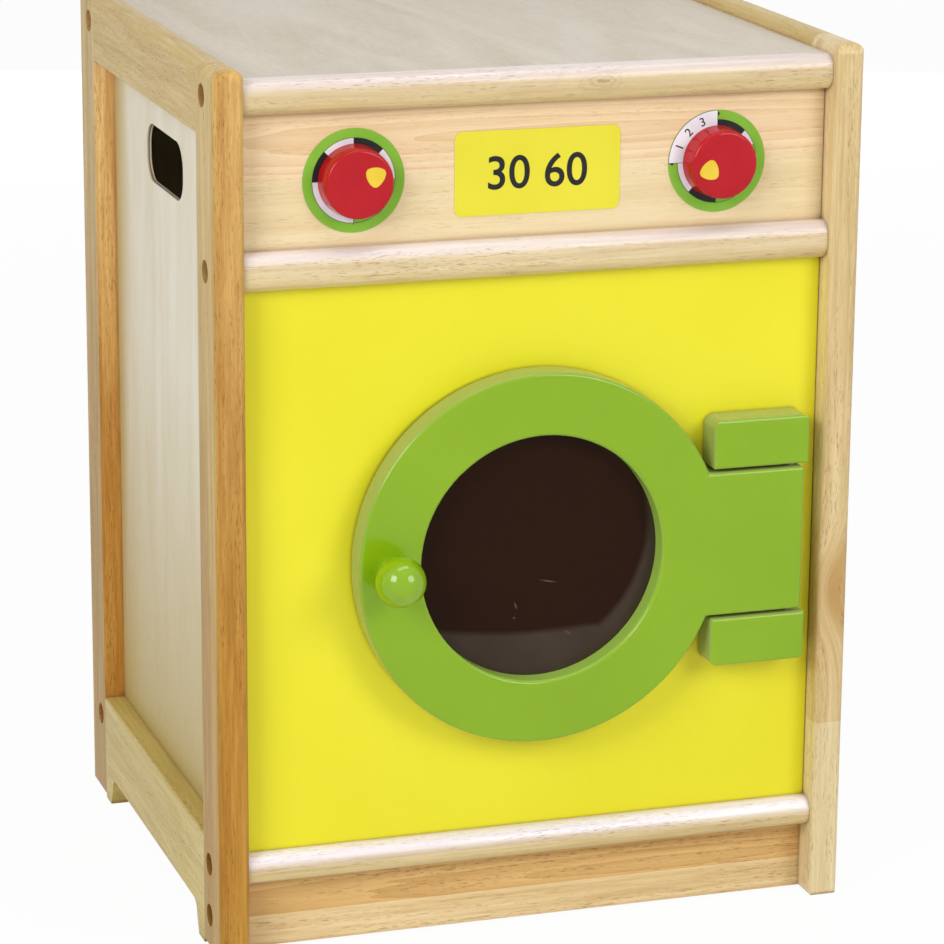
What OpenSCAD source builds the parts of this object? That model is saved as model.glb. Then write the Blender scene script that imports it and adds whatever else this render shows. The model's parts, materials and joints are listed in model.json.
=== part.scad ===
// Toy washing machine: a wooden cabinet on two framed sides, with a round door on a pinned
// hinge and two turning dials. Millimetres. +Z is up, the front faces -Y, and the origin is
// on the floor, below the middle of the whole toy.

/* [Cabinet] */
// Width over the two side frames
case_w = 430; // [400:1:500]
// Depth over the front and rear posts
case_d = 372; // [330:1:430]
// Height to the top of the posts
case_h = 581; // [560:1:640]
// Height of the posts and side rails above the top board
rim_h = 8; // [4:0.5:12]

/* [Side frames] */
// Thickness of the posts and side rails
post_t = 20; // [20:0.5:26]
// Width of a post, seen from the side
post_w = 42; // [40:1:50]
// Height of a top side rail
top_rail_h = 45.5; // [42:0.5:60]
// Height of a bottom side rail's upper edge above the floor
bottom_rail_top = 75.5; // [70:0.5:90]
// Height of the floor gap between the feet
foot_gap_h = 21; // [16:0.5:30]
// Length of a foot beyond its post, on the floor
foot_len = 15; // [8:0.5:24]
// Length that the foot's sloping side takes
foot_slope = 5; // [2:0.5:10]
// Radius where the foot's side meets the rail
foot_cove_r = 9; // [5:0.5:14]
// Radius along the top of the posts and top rails
top_r = 8; // [4:0.5:9]
// Radius of the posts' lower ends
base_r = 4; // [1:0.5:6]
// Radius of the posts' upright front and rear corners
post_r = 3.5; // [1:0.5:5]
// Depth of the side panels behind the outer faces
side_recess = 14.5; // [10:0.5:14.5]
// Thickness of the side panels
side_panel_t = 3; // [2:0.5:5]
// Width of the rabbet that holds a side panel
rabbet_w = 8; // [5:0.5:10]

/* [Handle slots] */
// Length of a handle slot
slot_l = 100; // [80:1:110]
// Height of a handle slot
slot_h = 39; // [36:0.5:44]
// Corner radius of a handle slot
slot_r = 17; // [5:0.5:19]
// Drop from the top rail to the middle of the slot
slot_drop = 44.5; // [34:0.5:60]

/* [Top, floor and back] */
// Thickness of the top board and of its nosing
top_board_t = 22.5; // [20:0.5:28]
// Thickness of the floor board and of its nosing
floor_t = 19.5; // [18:0.5:24]
// Height of the floor board's underside above the floor
floor_low = 49.5; // [46:0.5:60]
// Thickness of the back panel
back_t = 4; // [3:0.5:6]
// Depth of the back panel inside the rear posts' faces
back_inset = 12; // [4:0.5:14]

/* [Front] */
// Depth of the control board and the front panel behind the posts' front faces
front_recess = 16.5; // [14:0.5:17]
// Depth of the kick board behind the posts' front faces
kick_recess = 20; // [18:0.5:21]
// Floor clearance of the kick board
kick_gap = 2; // [1:0.5:10]
// Thickness of the kick board
kick_t = 16; // [15:0.5:18]
// Height of the control board
control_h = 86; // [80:1:110]
// Thickness of the control board
control_t = 18; // [12:0.5:20]
// Height of the rail between the control board and the front panel
middle_rail_h = 24.5; // [22:0.5:30]
// Thickness of the front panel
front_panel_t = 12; // [10:0.5:15]
// Projection of the three nosings in front of the boards
nose_reach = 12.5; // [10:0.5:13]
// Edge radius of the nosings
nose_r = 8.5; // [4:0.5:8.5]
// Diameter of the opening behind the door
opening_d = 190; // [176:1:196]
// Clearance round the boards that stand between the posts
board_gap = 0.4; // [0.2:0.1:0.8]

/* [Door] */
// Outer diameter of the door ring
ring_d = 247; // [240:1:252]
// Diameter of the window hole
window_d = 164; // [150:1:166]
// Thickness of the door
door_t = 20; // [16:0.5:21]
// Gap between the closed door and the front panel
door_gap = 1.5; // [1:0.1:2.5]
// Height of the door's middle above the front panel's middle
door_rise = 1.5; // [-3:0.5:5]
// Edge radius of the door and the hinge blocks
edge_r = 2.5; // [1:0.5:3]
// Radius of the inner corner between the ring and its tongue
tongue_fillet_r = 4; // [2:0.5:6]
// Lap of the window pane on the ring
pane_lap = 10; // [9:0.5:11]
// Thickness of the window pane
pane_t = 3; // [2:0.5:4]
// Depth of the seat for the pane and its screw heads
pane_seat = 6; // [6:0.5:8]
// Clearance round the pane
pane_gap = 0.4; // [0.2:0.1:0.8]
// Number of screws that hold the pane
pane_screws = 6; // [4:1:8]

/* [Hinge] */
// Height of the door's tongue between the hinge blocks
tongue_h = 97; // [80:1:110]
// Gap between the tongue and each hinge block
hinge_gap = 2; // [1:0.1:3]
// Height of a hinge block
block_h = 33; // [30:0.5:40]
// Outer corner radius of a hinge block
block_r = 6.5; // [3:0.5:9]
// Gap between the hinge blocks and the right post
block_side_gap = 12; // [9:0.5:16]
// Clearance between the door ring and the hinge blocks
ring_clear = 3.5; // [2:0.5:5]
// Distance from the pin to the outer end of a hinge block
pin_inset = 9; // [7.5:0.5:11]
// Distance from the pin to the outer end of the tongue
tongue_overhang = 6; // [4.5:0.5:6]
// Radius of the tongue's rear corner, which swings past the front panel
heel_r = 7; // [6:0.5:9]
// Diameter of the hinge pins
pin_d = 5; // [4:0.5:6]
// Radial clearance between a hinge pin and the tongue
pin_play = 0.08; // [0.03:0.01:0.1]
// Gap between a pin's tip and the end of its hole in the tongue
pin_end_gap = 0.3; // [0.2:0.1:0.8]
// Length of a hinge pin inside the tongue
pin_in_tongue = 24; // [16:1:30]
// Length of a hinge pin inside its block
pin_in_block = 25; // [18:1:26]

/* [Door knob and catch] */
// Diameter of the ball knob
ball_d = 32.5; // [28:0.5:36]
// Distance from the door to the middle of the ball
ball_reach = 22; // [20:0.5:25]
// Diameter of the knob's flared foot
knob_foot_d = 22; // [18:0.5:24]
// Diameter of the knob's neck
knob_neck_d = 13; // [10:0.5:14]
// Diameter of the catch magnet
magnet_d = 12; // [8:0.5:14]
// Length of the catch magnet
magnet_l = 6; // [4:0.5:8]
// Gap between the magnet and its strike plate
catch_gap = 0.5; // [0.3:0.1:0.8]
// Height of the catch above the middle of the door
catch_rise = 54; // [40:1:60]

/* [Dials and label] */
// Distance of each dial from the nearer side frame
dial_inset = 74; // [65:1:95]
// Drop of the dials below the middle of the control board
dial_drop = 1.5; // [-3:0.5:5]
// Diameter of the printed dial discs
dial_d = 66; // [60:0.5:72]
// Thickness of the printed discs and the label
sticker_t = 0.4; // [0.2:0.1:0.6]
// Diameter of a dial knob at its foot
knob_d = 46.5; // [40:0.5:50]
// Height of a dial knob
knob_h = 15; // [12:0.5:20]
// Taper of a dial knob's side, in degrees
knob_taper = 5; // [0:1:10]
// Edge radius of a dial knob
knob_edge_r = 2.5; // [1:0.5:4]
// Gap between a knob and its printed disc
knob_gap = 0.3; // [0.2:0.1:0.6]
// Diameter of a dial axle
axle_d = 6; // [5:0.5:8]
// Radial clearance of a dial axle in the control board
axle_play = 0.06; // [0.03:0.01:0.1]
// Length of a dial axle inside its knob
axle_in_knob = 9; // [6:0.5:10]
// Thickness of the washer behind the control board
washer_t = 1.2; // [0.8:0.1:2]
// Distance from the middle of the pointer mark to its three tips
pointer_tip = 6.9; // [5:0.1:8]
// Distance from the middle of the pointer mark to its three curved sides
pointer_side = 5.7; // [4:0.1:6]
// Distance of the pointer mark from the middle of the knob
pointer_out = 10.9; // [8:0.1:12]
// Angle of the left pointer mark, from +X
left_pointer_angle = 26; // [0:1:359]
// Angle of the right pointer mark, from +X
right_pointer_angle = 196; // [0:1:359]
// Width of the label between the dials
label_w = 110; // [80:1:130]
// Height of the label between the dials
label_h = 54; // [40:1:64]
// Corner radius of the label
label_r = 5; // [2:0.5:8]

/* [Fasteners] */
// Diameter of the frame bolts
bolt_d = 6; // [5:0.5:7]
// Length of a frame bolt under its head
bolt_l = 50; // [46:1:56]
// Diameter of a frame bolt's head
bolt_head_d = 10; // [9:0.5:12]
// Height of a frame bolt's head
bolt_head_h = 6; // [4:0.5:7]
// Width across the flats of a frame bolt's socket
bolt_socket = 5; // [4:0.5:5]
// Diameter of the counterbores in the posts
counterbore_d = 15; // [13:0.5:16]
// Depth of the counterbores
counterbore_h = 9; // [8:0.5:12]
// Distance of the corner bolts from the posts' outer corners
bolt_inset = 28; // [26:0.5:30]
// Height of the kick board's bolt above the floor
kick_bolt_z = 24; // [22:0.5:26]
// Distance of the barrel nuts from the boards' ends
nut_inset = 30; // [26:0.5:34]
// Diameter of the barrel nuts
nut_d = 10; // [9:0.5:12]
// Length of the barrel nuts
nut_l = 12; // [10:0.5:13]
// Diameter of the wooden dowels
dowel_d = 6; // [5:0.5:7]
// Length of the wooden dowels
dowel_l = 22; // [16:1:23]
// Length of the upright dowels beside the middle rail and the floor
short_dowel_l = 17.5; // [14:0.5:18]
// Distance of the upright dowels from the middle of the cabinet
dowel_x = 140; // [115:1:150]
// Distance of the side rails' dowels from the rails' edges
dowel_edge = 6.8; // [5:0.1:7]
// Diameter of the small panel screws
screw_d = 3; // [2.5:0.5:3.5]
// Diameter of the small panel screws' heads
screw_head_d = 6; // [5:0.5:7]
// Height of the small panel screws' heads
screw_head_h = 1.8; // [1.4:0.1:2.2]
// Diameter of the screws in the door knob and the hinge blocks
stout_d = 4; // [3.5:0.5:5]
// Diameter of those screws' heads
stout_head_d = 8; // [7:0.5:9]
// Height of those screws' heads
stout_head_h = 2.8; // [2:0.1:3.2]
// Distance of the first hinge screws from the hinge blocks' inner ends
hinge_screw_inset = 13; // [8:1:16]
// Distance of the second hinge screws from the pin
hinge_screw_from_pin = 16; // [12:1:20]
// Radial clearance round each fastener
fit = 0.1; // [0.05:0.05:0.3]

/* [Hidden] */
$fn = 96;
eps = 1;

// Heights, from the floor
board_top = case_h - rim_h;
board_low = board_top - top_board_t;
rail_top = board_low - control_h;
rail_low = rail_top - middle_rail_h;
floor_top = floor_low + floor_t;
top_mid = board_top - top_board_t / 2;
rail_mid = rail_top - middle_rail_h / 2;
floor_mid = floor_low + floor_t / 2;
top_rail_low = case_h - top_rail_h;
dial_z = board_low - control_h / 2 - dial_drop;
door_z = (floor_top + rail_low) / 2 + door_rise;

// Places across the width and through the depth, from the left front corner
inner_w = case_w - 2 * post_t;
rail_l = case_d - 2 * post_w;
middle_x = case_w / 2;
nose_front = front_recess - nose_reach;
board_rear = case_d - back_inset - back_t;
board_d = board_rear - front_recess;
middle_rail_y = (nose_front + post_w) / 2;
kick_mid_y = kick_recess + kick_t / 2;
slot_z = top_rail_low - slot_drop;

// Door and hinge, from the same corner
ring_r = ring_d / 2;
window_r = window_d / 2;
door_rear = front_recess - door_gap;
door_front = door_rear - door_t;
pane_r = window_r + pane_lap;
pane_front = door_rear - pane_seat;
pane_screw_r = window_r + pane_lap / 2;
knob_r = (window_r + ring_r) / 2;
knob_x = middle_x - knob_r;
knob_front = door_front - ball_reach - ball_d / 2;
catch_r = (opening_d / 2 + ring_r) / 2;
catch_x = middle_x - sqrt(pow(catch_r, 2) - pow(catch_rise, 2));
catch_z = door_z + catch_rise;
plate_t = 1.5;
plate_rim = 1;
plate_r = magnet_d / 2 + plate_rim;
plate_proud = 0.5;
magnet_front = door_rear + plate_proud + catch_gap;
half_tongue = tongue_h / 2;
half_gap = half_tongue + hinge_gap;
block_right = case_w - post_t - block_side_gap;
block_left = middle_x + sqrt(pow(ring_r + ring_clear, 2) - pow(half_gap, 2));
block_w = block_right - block_left;
block_t = front_recess - door_front;
pin_x = block_right - pin_inset;
pin_y = door_front + door_t / 2;
pin_r = pin_d / 2;

// Dials, from the middle of the cabinet and from its front
dial_x = inner_w / 2 - dial_inset;
axle_back = front_recess + control_t + washer_t + knob_gap;
knob_back = front_recess - sticker_t - knob_gap;
washer_rim = 4;
washer_r = axle_d / 2 + washer_rim;
axle_head_rim = 2.5;
axle_head_r = axle_d / 2 + axle_head_rim;
axle_head_h = 3;

// Screws, and the fits that aren't clearances
crown_share = 0.5;
screw_l = 12;
pilot_l = screw_l - pane_t + fit;
stout_seat = stout_head_h + fit;
hinge_screw_cover = 5;
hinge_screw_l = front_panel_t + block_t - hinge_screw_cover;
knob_screw_grip = 14;
knob_screw_l = door_t - stout_seat + knob_screw_grip;
catch_screw_l = 10;
catch_screw_head_r = 2.7;
back_screw_count = 4;
press_fit = 0.02;
loose_fit = 0.3;

// Small edge radii, and the least flat that a nosing keeps
soft_r = 1.5;
rear_edge_r = 1;
nose_flat = 1;

// The whole toy's middle, from the ball knob's front to the rear posts
origin_y = (case_d + knob_front) / 2;

wood_post = [0.85, 0.70, 0.47];
wood_pale = [0.91, 0.82, 0.63];
ply = [0.85, 0.80, 0.71];
wood_kick = [0.80, 0.62, 0.38];
yellow = [0.93, 0.90, 0.18];
green = [0.53, 0.71, 0.18];
red = [0.78, 0.14, 0.17];
smoke = [0.20, 0.12, 0.08];
steel = [0.70, 0.71, 0.73];
beech = [0.88, 0.74, 0.54];

// A rectangle with its own radius at each corner: low left, low right, high right, high left
module corner_rect(w, h, radii) {
    places = [[0, 0, 0], [w, 0, 90], [w, h, 180], [0, h, 270]];
    difference() {
        square([w, h]);
        for (i = [0 : 3])
            if (radii[i] > 0)
                translate([places[i][0], places[i][1]])
                    rotate(places[i][2])
                        corner_waste(radii[i]);
    }
}

// What a router takes off a square corner at the origin
module corner_waste(r) {
    difference() {
        translate([-eps, -eps])
            square(r + eps);
        translate([r, r])
            circle(r);
    }
}

// A profile in (y, z), extruded along +X
module along_x(length) {
    rotate([90, 0, 90])
        linear_extrude(length)
            children();
}

// A profile in (x, z), extruded along +Y
module along_y(length) {
    translate([0, length, 0])
        rotate([90, 0, 0])
            linear_extrude(length)
                children();
}

// Turns +Z towards the back, for bores and revolved pieces
module backwards() {
    rotate([-90, 0, 0])
        children();
}

// Turns +Z towards the front, and keeps +Y of a flat drawing upright
module forwards() {
    rotate([90, 0, 0])
        children();
}

// Moves what is drawn from the left front corner to the part's own origin
module placed() {
    translate([-middle_x, -origin_y, 0])
        children();
}

module mirrored_x() {
    translate([case_w, 0, 0])
        mirror([1, 0, 0])
            children();
}

module mirrored_y() {
    translate([0, case_d, 0])
        mirror([0, 1, 0])
            children();
}

module on_both_sides() {
    children();
    mirrored_x()
        children();
}

module at_four_corners() {
    on_both_sides() {
        children();
        mirrored_y()
            children();
    }
}

// Where the frame bolts cross the posts, as [y, z]
function front_bolts() = [
    [bolt_inset, top_mid],
    [middle_rail_y, rail_mid],
    [bolt_inset, floor_mid],
    [kick_mid_y, kick_bolt_z]
];
function corner_bolts() = [
    [bolt_inset, top_mid],
    [bolt_inset, floor_mid]
];

module counterbored_hole(place) {
    translate([-eps, place[0], place[1]])
        rotate([0, 90, 0]) {
            cylinder(d = counterbore_d, h = counterbore_h + eps);
            cylinder(r = bolt_d / 2 + fit, h = post_t + 2 * eps);
        }
}

// The bolt's hole in a board's end
module end_hole(place) {
    translate([post_t - eps, place[0], place[1]])
        rotate([0, 90, 0])
            cylinder(r = bolt_d / 2 + fit, h = counterbore_h + bolt_l - post_t + 2 * eps);
}

// Holes for the barrel nuts, bored upwards from a board's underside
module nut_hole_from_below(place, low) {
    translate([post_t + nut_inset, place[0], low - eps])
        cylinder(r = nut_d / 2 + fit, h = place[1] - low + nut_l / 2 + eps);
}

// Holes for the barrel nuts, bored forwards from a rail's rear face
module nut_hole_from_behind(place, rear) {
    translate([post_t + nut_inset, rear + eps, place[1]])
        forwards()
            cylinder(r = nut_d / 2 + fit, h = rear - place[0] + nut_l / 2 + eps);
}

// The two dowels at each end of a side rail, as heights
function top_dowels() = [top_rail_low + dowel_edge, case_h - dowel_edge];
function bottom_dowels() = [kick_bolt_z - counterbore_d / 2 - dowel_edge,
    (kick_bolt_z + floor_mid) / 2];
function rail_dowel_heights() = concat(bottom_dowels(), top_dowels());

module rail_dowel_set(r, length) {
    for (z = rail_dowel_heights())
        translate([post_t / 2, post_w - length / 2, z])
            backwards()
                cylinder(r = r, h = length);
}

module post(bolts) {
    difference() {
        intersection() {
            linear_extrude(case_h)
                corner_rect(post_t, post_w, [post_r, post_r, 0, 0]);
            along_y(post_w)
                corner_rect(post_t, case_h, [base_r, base_r, top_r, top_r]);
            along_x(post_t)
                corner_rect(post_w, case_h, [base_r, 0, 0, top_r]);
        }
        translate([side_recess, post_w - rabbet_w, bottom_rail_top - rabbet_w])
            cube([post_t, post_w, top_rail_low - bottom_rail_top + 2 * rabbet_w]);
        for (place = bolts)
            counterbored_hole(place);
        rail_dowel_set(dowel_d / 2 + fit, dowel_l + 2 * fit);
    }
}

module left_front_post()
    color(wood_post)
        placed()
            post(front_bolts());

module right_front_post()
    color(wood_pale)
        placed()
            mirrored_x()
                post(front_bolts());

module left_rear_post()
    color(wood_post)
        placed()
            mirrored_y()
                post(corner_bolts());

module right_rear_post()
    color(wood_pale)
        placed()
            mirrored_x()
                mirrored_y()
                    post(corner_bolts());

module rail_end_dowel_holes() {
    rail_dowel_set(dowel_d / 2 + fit, dowel_l + 2 * fit);
    mirrored_y()
        rail_dowel_set(dowel_d / 2 + fit, dowel_l + 2 * fit);
}

module top_rail() {
    difference() {
        translate([0, post_w, top_rail_low])
            along_y(rail_l)
                corner_rect(post_t, top_rail_h, [soft_r, 0, top_r, top_r]);
        translate([side_recess, post_w - eps, top_rail_low - eps])
            cube([post_t, rail_l + 2 * eps, rabbet_w + eps]);
        rail_end_dowel_holes();
    }
}

module left_top_rail()
    color(wood_pale)
        placed()
            top_rail();

module right_top_rail()
    color(wood_pale)
        placed()
            mirrored_x()
                top_rail();

// The gap under a bottom rail: sloping sides that sweep up into the rail's lower edge
module foot_gap() {
    near = post_w + foot_len;
    far = case_d - near;
    cove = min(foot_cove_r, foot_gap_h - eps);
    cove_z = foot_gap_h - cove;
    polygon([
        [near - foot_slope * eps / cove_z, -eps],
        [near + foot_slope, cove_z],
        [far - foot_slope, cove_z],
        [far + foot_slope * eps / cove_z, -eps]
    ]);
    translate([near + foot_slope + cove, cove_z])
        circle(cove);
    translate([far - foot_slope - cove, cove_z])
        circle(cove);
    translate([near + foot_slope + cove, cove_z - eps])
        square([far - near - 2 * (foot_slope + cove), cove + eps]);
}

module bottom_rail() {
    difference() {
        translate([0, post_w, 0])
            along_y(rail_l)
                corner_rect(post_t, bottom_rail_top, [0, 0, 0, soft_r]);
        translate([-eps, 0, 0])
            along_x(post_t + 2 * eps)
                foot_gap();
        translate([side_recess, post_w - eps, bottom_rail_top - rabbet_w])
            cube([post_t, rail_l + 2 * eps, rabbet_w + eps]);
        rail_end_dowel_holes();
    }
}

module left_bottom_rail()
    color(wood_pale)
        placed()
            bottom_rail();

module right_bottom_rail()
    color(wood_pale)
        placed()
            mirrored_x()
                bottom_rail();

module side_panel() {
    low = bottom_rail_top - rabbet_w + board_gap / 2;
    near = post_w - rabbet_w + board_gap / 2;
    difference() {
        translate([side_recess, near, low])
            cube([side_panel_t, case_d - 2 * near,
                top_rail_low + rabbet_w - board_gap / 2 - low]);
        translate([side_recess - eps, (case_d - slot_l) / 2, slot_z - slot_h / 2])
            along_x(side_panel_t + 2 * eps)
                corner_rect(slot_l, slot_h, [slot_r, slot_r, slot_r, slot_r]);
    }
}

module left_side_panel()
    color(ply)
        placed()
            side_panel();

module right_side_panel()
    color(ply)
        placed()
            mirrored_x()
                side_panel();

// Places of the back panel's screws across the width
function back_screw_x(i) = post_t + inner_w * (i + 0.5) / back_screw_count;

module back_screw_set(r, length) {
    for (i = [0 : back_screw_count - 1])
        for (z = [top_mid, floor_mid])
            translate([back_screw_x(i), board_rear + back_t, z])
                forwards()
                    cylinder(r = r, h = length);
}

// Upright dowels between a board's edge and the piece beside it, round a given height
module board_dowel_pair(y, z, r, length) {
    for (side = [-1, 1])
        translate([middle_x + side * dowel_x, y, z - length / 2])
            cylinder(r = r, h = length);
}

control_y = front_recess + control_t / 2;
front_y = front_recess + front_panel_t / 2;

module all_board_dowels(extra_r, extra_l) {
    board_dowel_pair(control_y, board_low, dowel_d / 2 + extra_r, dowel_l + extra_l);
    board_dowel_pair(control_y, rail_top, dowel_d / 2 + extra_r, short_dowel_l + extra_l);
    board_dowel_pair(front_y, rail_low, dowel_d / 2 + extra_r, short_dowel_l + extra_l);
    board_dowel_pair(front_y, floor_top, dowel_d / 2 + extra_r, short_dowel_l + extra_l);
}

module board_dowel_holes()
    all_board_dowels(fit, 2 * fit);

module top_board() {
    color(ply)
        placed()
            difference() {
                translate([post_t, front_recess, board_low])
                    cube([inner_w, board_d, top_board_t]);
                at_four_corners() {
                    end_hole(corner_bolts()[0]);
                    nut_hole_from_below(corner_bolts()[0], board_low);
                }
                board_dowel_holes();
                back_screw_set(screw_d / 2 + fit, screw_l + back_t);
            }
}

module nosing(height) {
    r = min(nose_r, (height - nose_flat) / 2);
    translate([post_t, nose_front, 0])
        along_x(inner_w)
            corner_rect(nose_reach, height, [r, 0, 0, r]);
}

module top_nosing()
    color(wood_pale)
        placed()
            translate([0, 0, board_low])
                nosing(top_board_t);

module lower_nosing()
    color(wood_pale)
        placed()
            translate([0, 0, floor_low])
                nosing(floor_t);

module dial_bores() {
    for (side = [-1, 1])
        translate([middle_x + side * dial_x, front_recess - sticker_t - eps, dial_z])
            backwards()
                cylinder(r = axle_d / 2 + axle_play, h = control_t + sticker_t + 2 * eps);
}

module control_board() {
    color(wood_pale)
        placed()
            difference() {
                translate([post_t + board_gap, front_recess, rail_top])
                    cube([inner_w - 2 * board_gap, control_t, control_h]);
                dial_bores();
                board_dowel_holes();
            }
}

module middle_rail() {
    r = min(nose_r, (middle_rail_h - nose_flat) / 2);
    place = [middle_rail_y, rail_mid];
    color(wood_pale)
        placed()
            difference() {
                translate([post_t, nose_front, rail_low])
                    along_x(inner_w)
                        corner_rect(post_w - nose_front, middle_rail_h,
                            [r, rear_edge_r, rear_edge_r, r]);
                on_both_sides() {
                    end_hole(place);
                    nut_hole_from_behind(place, post_w);
                }
                board_dowel_holes();
            }
}

// Screws through the front panel into the hinge blocks, as [x, z] places
function hinge_screw_places() = [
    for (side = [-1, 1])
        for (x = [block_left + hinge_screw_inset, pin_x - hinge_screw_from_pin])
            [x, door_z + side * (half_gap + block_h / 2)]
];

module front_panel() {
    color(yellow)
        placed()
            difference() {
                translate([post_t + board_gap, front_recess, floor_top])
                    cube([inner_w - 2 * board_gap, front_panel_t, rail_low - floor_top]);
                translate([middle_x, front_recess - eps, door_z])
                    backwards()
                        cylinder(d = opening_d, h = front_panel_t + 2 * eps, $fn = 144);
                translate([catch_x, magnet_front, catch_z])
                    backwards()
                        cylinder(r = magnet_d / 2 + fit, h = magnet_l + fit);
                for (place = hinge_screw_places())
                    translate([place[0], front_recess - eps, place[1]])
                        backwards()
                            cylinder(r = stout_d / 2 + fit, h = front_panel_t + 2 * eps);
                board_dowel_holes();
            }
}

module floor_board() {
    color(ply)
        placed()
            difference() {
                translate([post_t, front_recess, floor_low])
                    cube([inner_w, board_d, floor_t]);
                at_four_corners() {
                    end_hole(corner_bolts()[1]);
                    nut_hole_from_below(corner_bolts()[1], floor_low);
                }
                board_dowel_holes();
                back_screw_set(screw_d / 2 + fit, screw_l + back_t);
            }
}

module kick_board() {
    place = [kick_mid_y, kick_bolt_z];
    color(wood_kick)
        placed()
            difference() {
                translate([post_t, kick_recess, kick_gap])
                    cube([inner_w, kick_t, floor_low - kick_gap]);
                on_both_sides() {
                    end_hole(place);
                    nut_hole_from_behind(place, kick_recess + kick_t);
                }
            }
}

module back_panel() {
    color(ply)
        placed()
            difference() {
                translate([post_t + board_gap, board_rear, floor_low])
                    cube([inner_w - 2 * board_gap, back_t, board_top - floor_low]);
                translate([0, eps, 0])
                    back_screw_set(screw_d / 2 + fit, back_t + 2 * eps);
            }
}

module frame_bolt(place) {
    translate([counterbore_h, place[0], place[1]])
        rotate([0, 90, 0])
            difference() {
                union() {
                    translate([0, 0, -bolt_head_h])
                        cylinder(d = bolt_head_d, h = bolt_head_h);
                    cylinder(d = bolt_d, h = bolt_l);
                }
                translate([0, 0, -bolt_head_h - eps])
                    cylinder(d = bolt_socket / cos(30), h = bolt_head_h / 2 + eps, $fn = 6);
            }
}

module frame_bolts() {
    color(steel)
        placed() {
            on_both_sides()
                for (place = front_bolts())
                    frame_bolt(place);
            on_both_sides()
                mirrored_y()
                    for (place = corner_bolts())
                        frame_bolt(place);
        }
}

// A cross dowel of steel, with the bolt's hole through its middle
module barrel_nut() {
    difference() {
        translate([0, 0, -nut_l / 2])
            cylinder(d = nut_d, h = nut_l);
        translate([-nut_d, 0, 0])
            rotate([0, 90, 0])
                cylinder(r = bolt_d / 2 + fit / 2, h = 2 * nut_d);
    }
}

module barrel_nuts() {
    color(steel)
        placed() {
            at_four_corners()
                for (place = corner_bolts())
                    translate([post_t + nut_inset, place[0], place[1]])
                        barrel_nut();
            on_both_sides()
                for (place = [front_bolts()[1], front_bolts()[3]])
                    translate([post_t + nut_inset, place[0], place[1]])
                        forwards()
                            barrel_nut();
        }
}

module rail_dowels()
    color(beech)
        placed()
            at_four_corners()
                rail_dowel_set(dowel_d / 2, dowel_l);

module board_dowels()
    color(beech)
        placed()
            all_board_dowels(0, 0);

// A pan-headed screw that points along +Z, with its crowned head below the origin
module pan_screw(d, length, head_d, height) {
    crown = height * crown_share;
    crown_r = (pow(head_d / 2, 2) + pow(crown, 2)) / (2 * crown);
    cylinder(d = d, h = length);
    rotate_extrude()
        intersection() {
            translate([0, crown_r - height])
                circle(crown_r);
            translate([0, -height])
                square([head_d / 2, height]);
        }
}

module back_screws() {
    color(steel)
        placed()
            for (i = [0 : back_screw_count - 1])
                for (z = [top_mid, floor_mid])
                    translate([back_screw_x(i), board_rear + back_t, z])
                        forwards()
                            pan_screw(screw_d, screw_l + back_t - fit, screw_head_d, screw_head_h);
}

module label_plate() {
    color(yellow)
        placed()
            translate([middle_x - label_w / 2, front_recess - sticker_t, dial_z - label_h / 2])
                along_y(sticker_t)
                    corner_rect(label_w, label_h, [label_r, label_r, label_r, label_r]);
}

module dial(side) {
    color(green)
        placed()
            difference() {
                translate([middle_x + side * dial_x, front_recess, dial_z])
                    forwards()
                        cylinder(d = dial_d, h = sticker_t);
                dial_bores();
            }
}

module left_dial()
    dial(-1);

module right_dial()
    dial(1);

module dial_washers() {
    color(steel)
        placed()
            for (side = [-1, 1])
                translate([middle_x + side * dial_x, front_recess + control_t, dial_z])
                    backwards()
                        difference() {
                            cylinder(r = washer_r, h = washer_t);
                            translate([0, 0, -eps])
                                cylinder(r = axle_d / 2 + loose_fit, h = washer_t + 2 * eps);
                        }
}

// Half of a turned knob's section: a tapered side that runs into a rounded front edge
module knob_section() {
    slope = sin(knob_taper);
    upright = cos(knob_taper);
    round_z = knob_h - knob_edge_r;
    round_x = knob_d / 2 - (knob_edge_r + round_z * slope) / upright;
    polygon([
        [0, 0],
        [knob_d / 2, 0],
        [round_x + knob_edge_r * upright, round_z + knob_edge_r * slope],
        [round_x, knob_h],
        [0, knob_h]
    ]);
    translate([round_x, round_z])
        circle(knob_edge_r);
}

// A turned knob with a blind hole for its axle
module dial_knob(side) {
    color(red)
        placed()
            translate([middle_x + side * dial_x, knob_back, dial_z])
                forwards()
                    difference() {
                        rotate_extrude()
                            knob_section();
                        translate([0, 0, -eps])
                            cylinder(r = axle_d / 2 + press_fit, h = axle_in_knob + fit + eps);
                    }
}

module left_knob()
    dial_knob(-1);

module right_knob()
    dial_knob(1);

// The pointer mark: where three circles overlap, blunted at the tips, with one tip outwards
module pointer_shape() {
    reach = pointer_side;
    intersection() {
        circle(pointer_tip);
        intersection_for (turn = [0, 120, 240])
            rotate(turn)
                translate([reach, 0])
                    circle(reach + pointer_side);
    }
}

module pointer(side, angle) {
    color(yellow)
        placed()
            translate([middle_x + side * dial_x, knob_back - knob_h, dial_z])
                forwards()
                    linear_extrude(sticker_t)
                        rotate(angle)
                            translate([pointer_out, 0])
                                pointer_shape();
}

module left_pointer()
    pointer(-1, left_pointer_angle);

module right_pointer()
    pointer(1, right_pointer_angle);

// A headed axle, driven into the knob from behind the control board
module dial_axle(side) {
    color(steel)
        placed()
            translate([middle_x + side * dial_x, axle_back, dial_z])
                forwards() {
                    cylinder(d = axle_d, h = axle_back - knob_back + axle_in_knob);
                    translate([0, 0, -axle_head_h])
                        cylinder(r = axle_head_r, h = axle_head_h);
                }
}

module left_axle()
    dial_axle(-1);

module right_axle()
    dial_axle(1);

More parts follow.
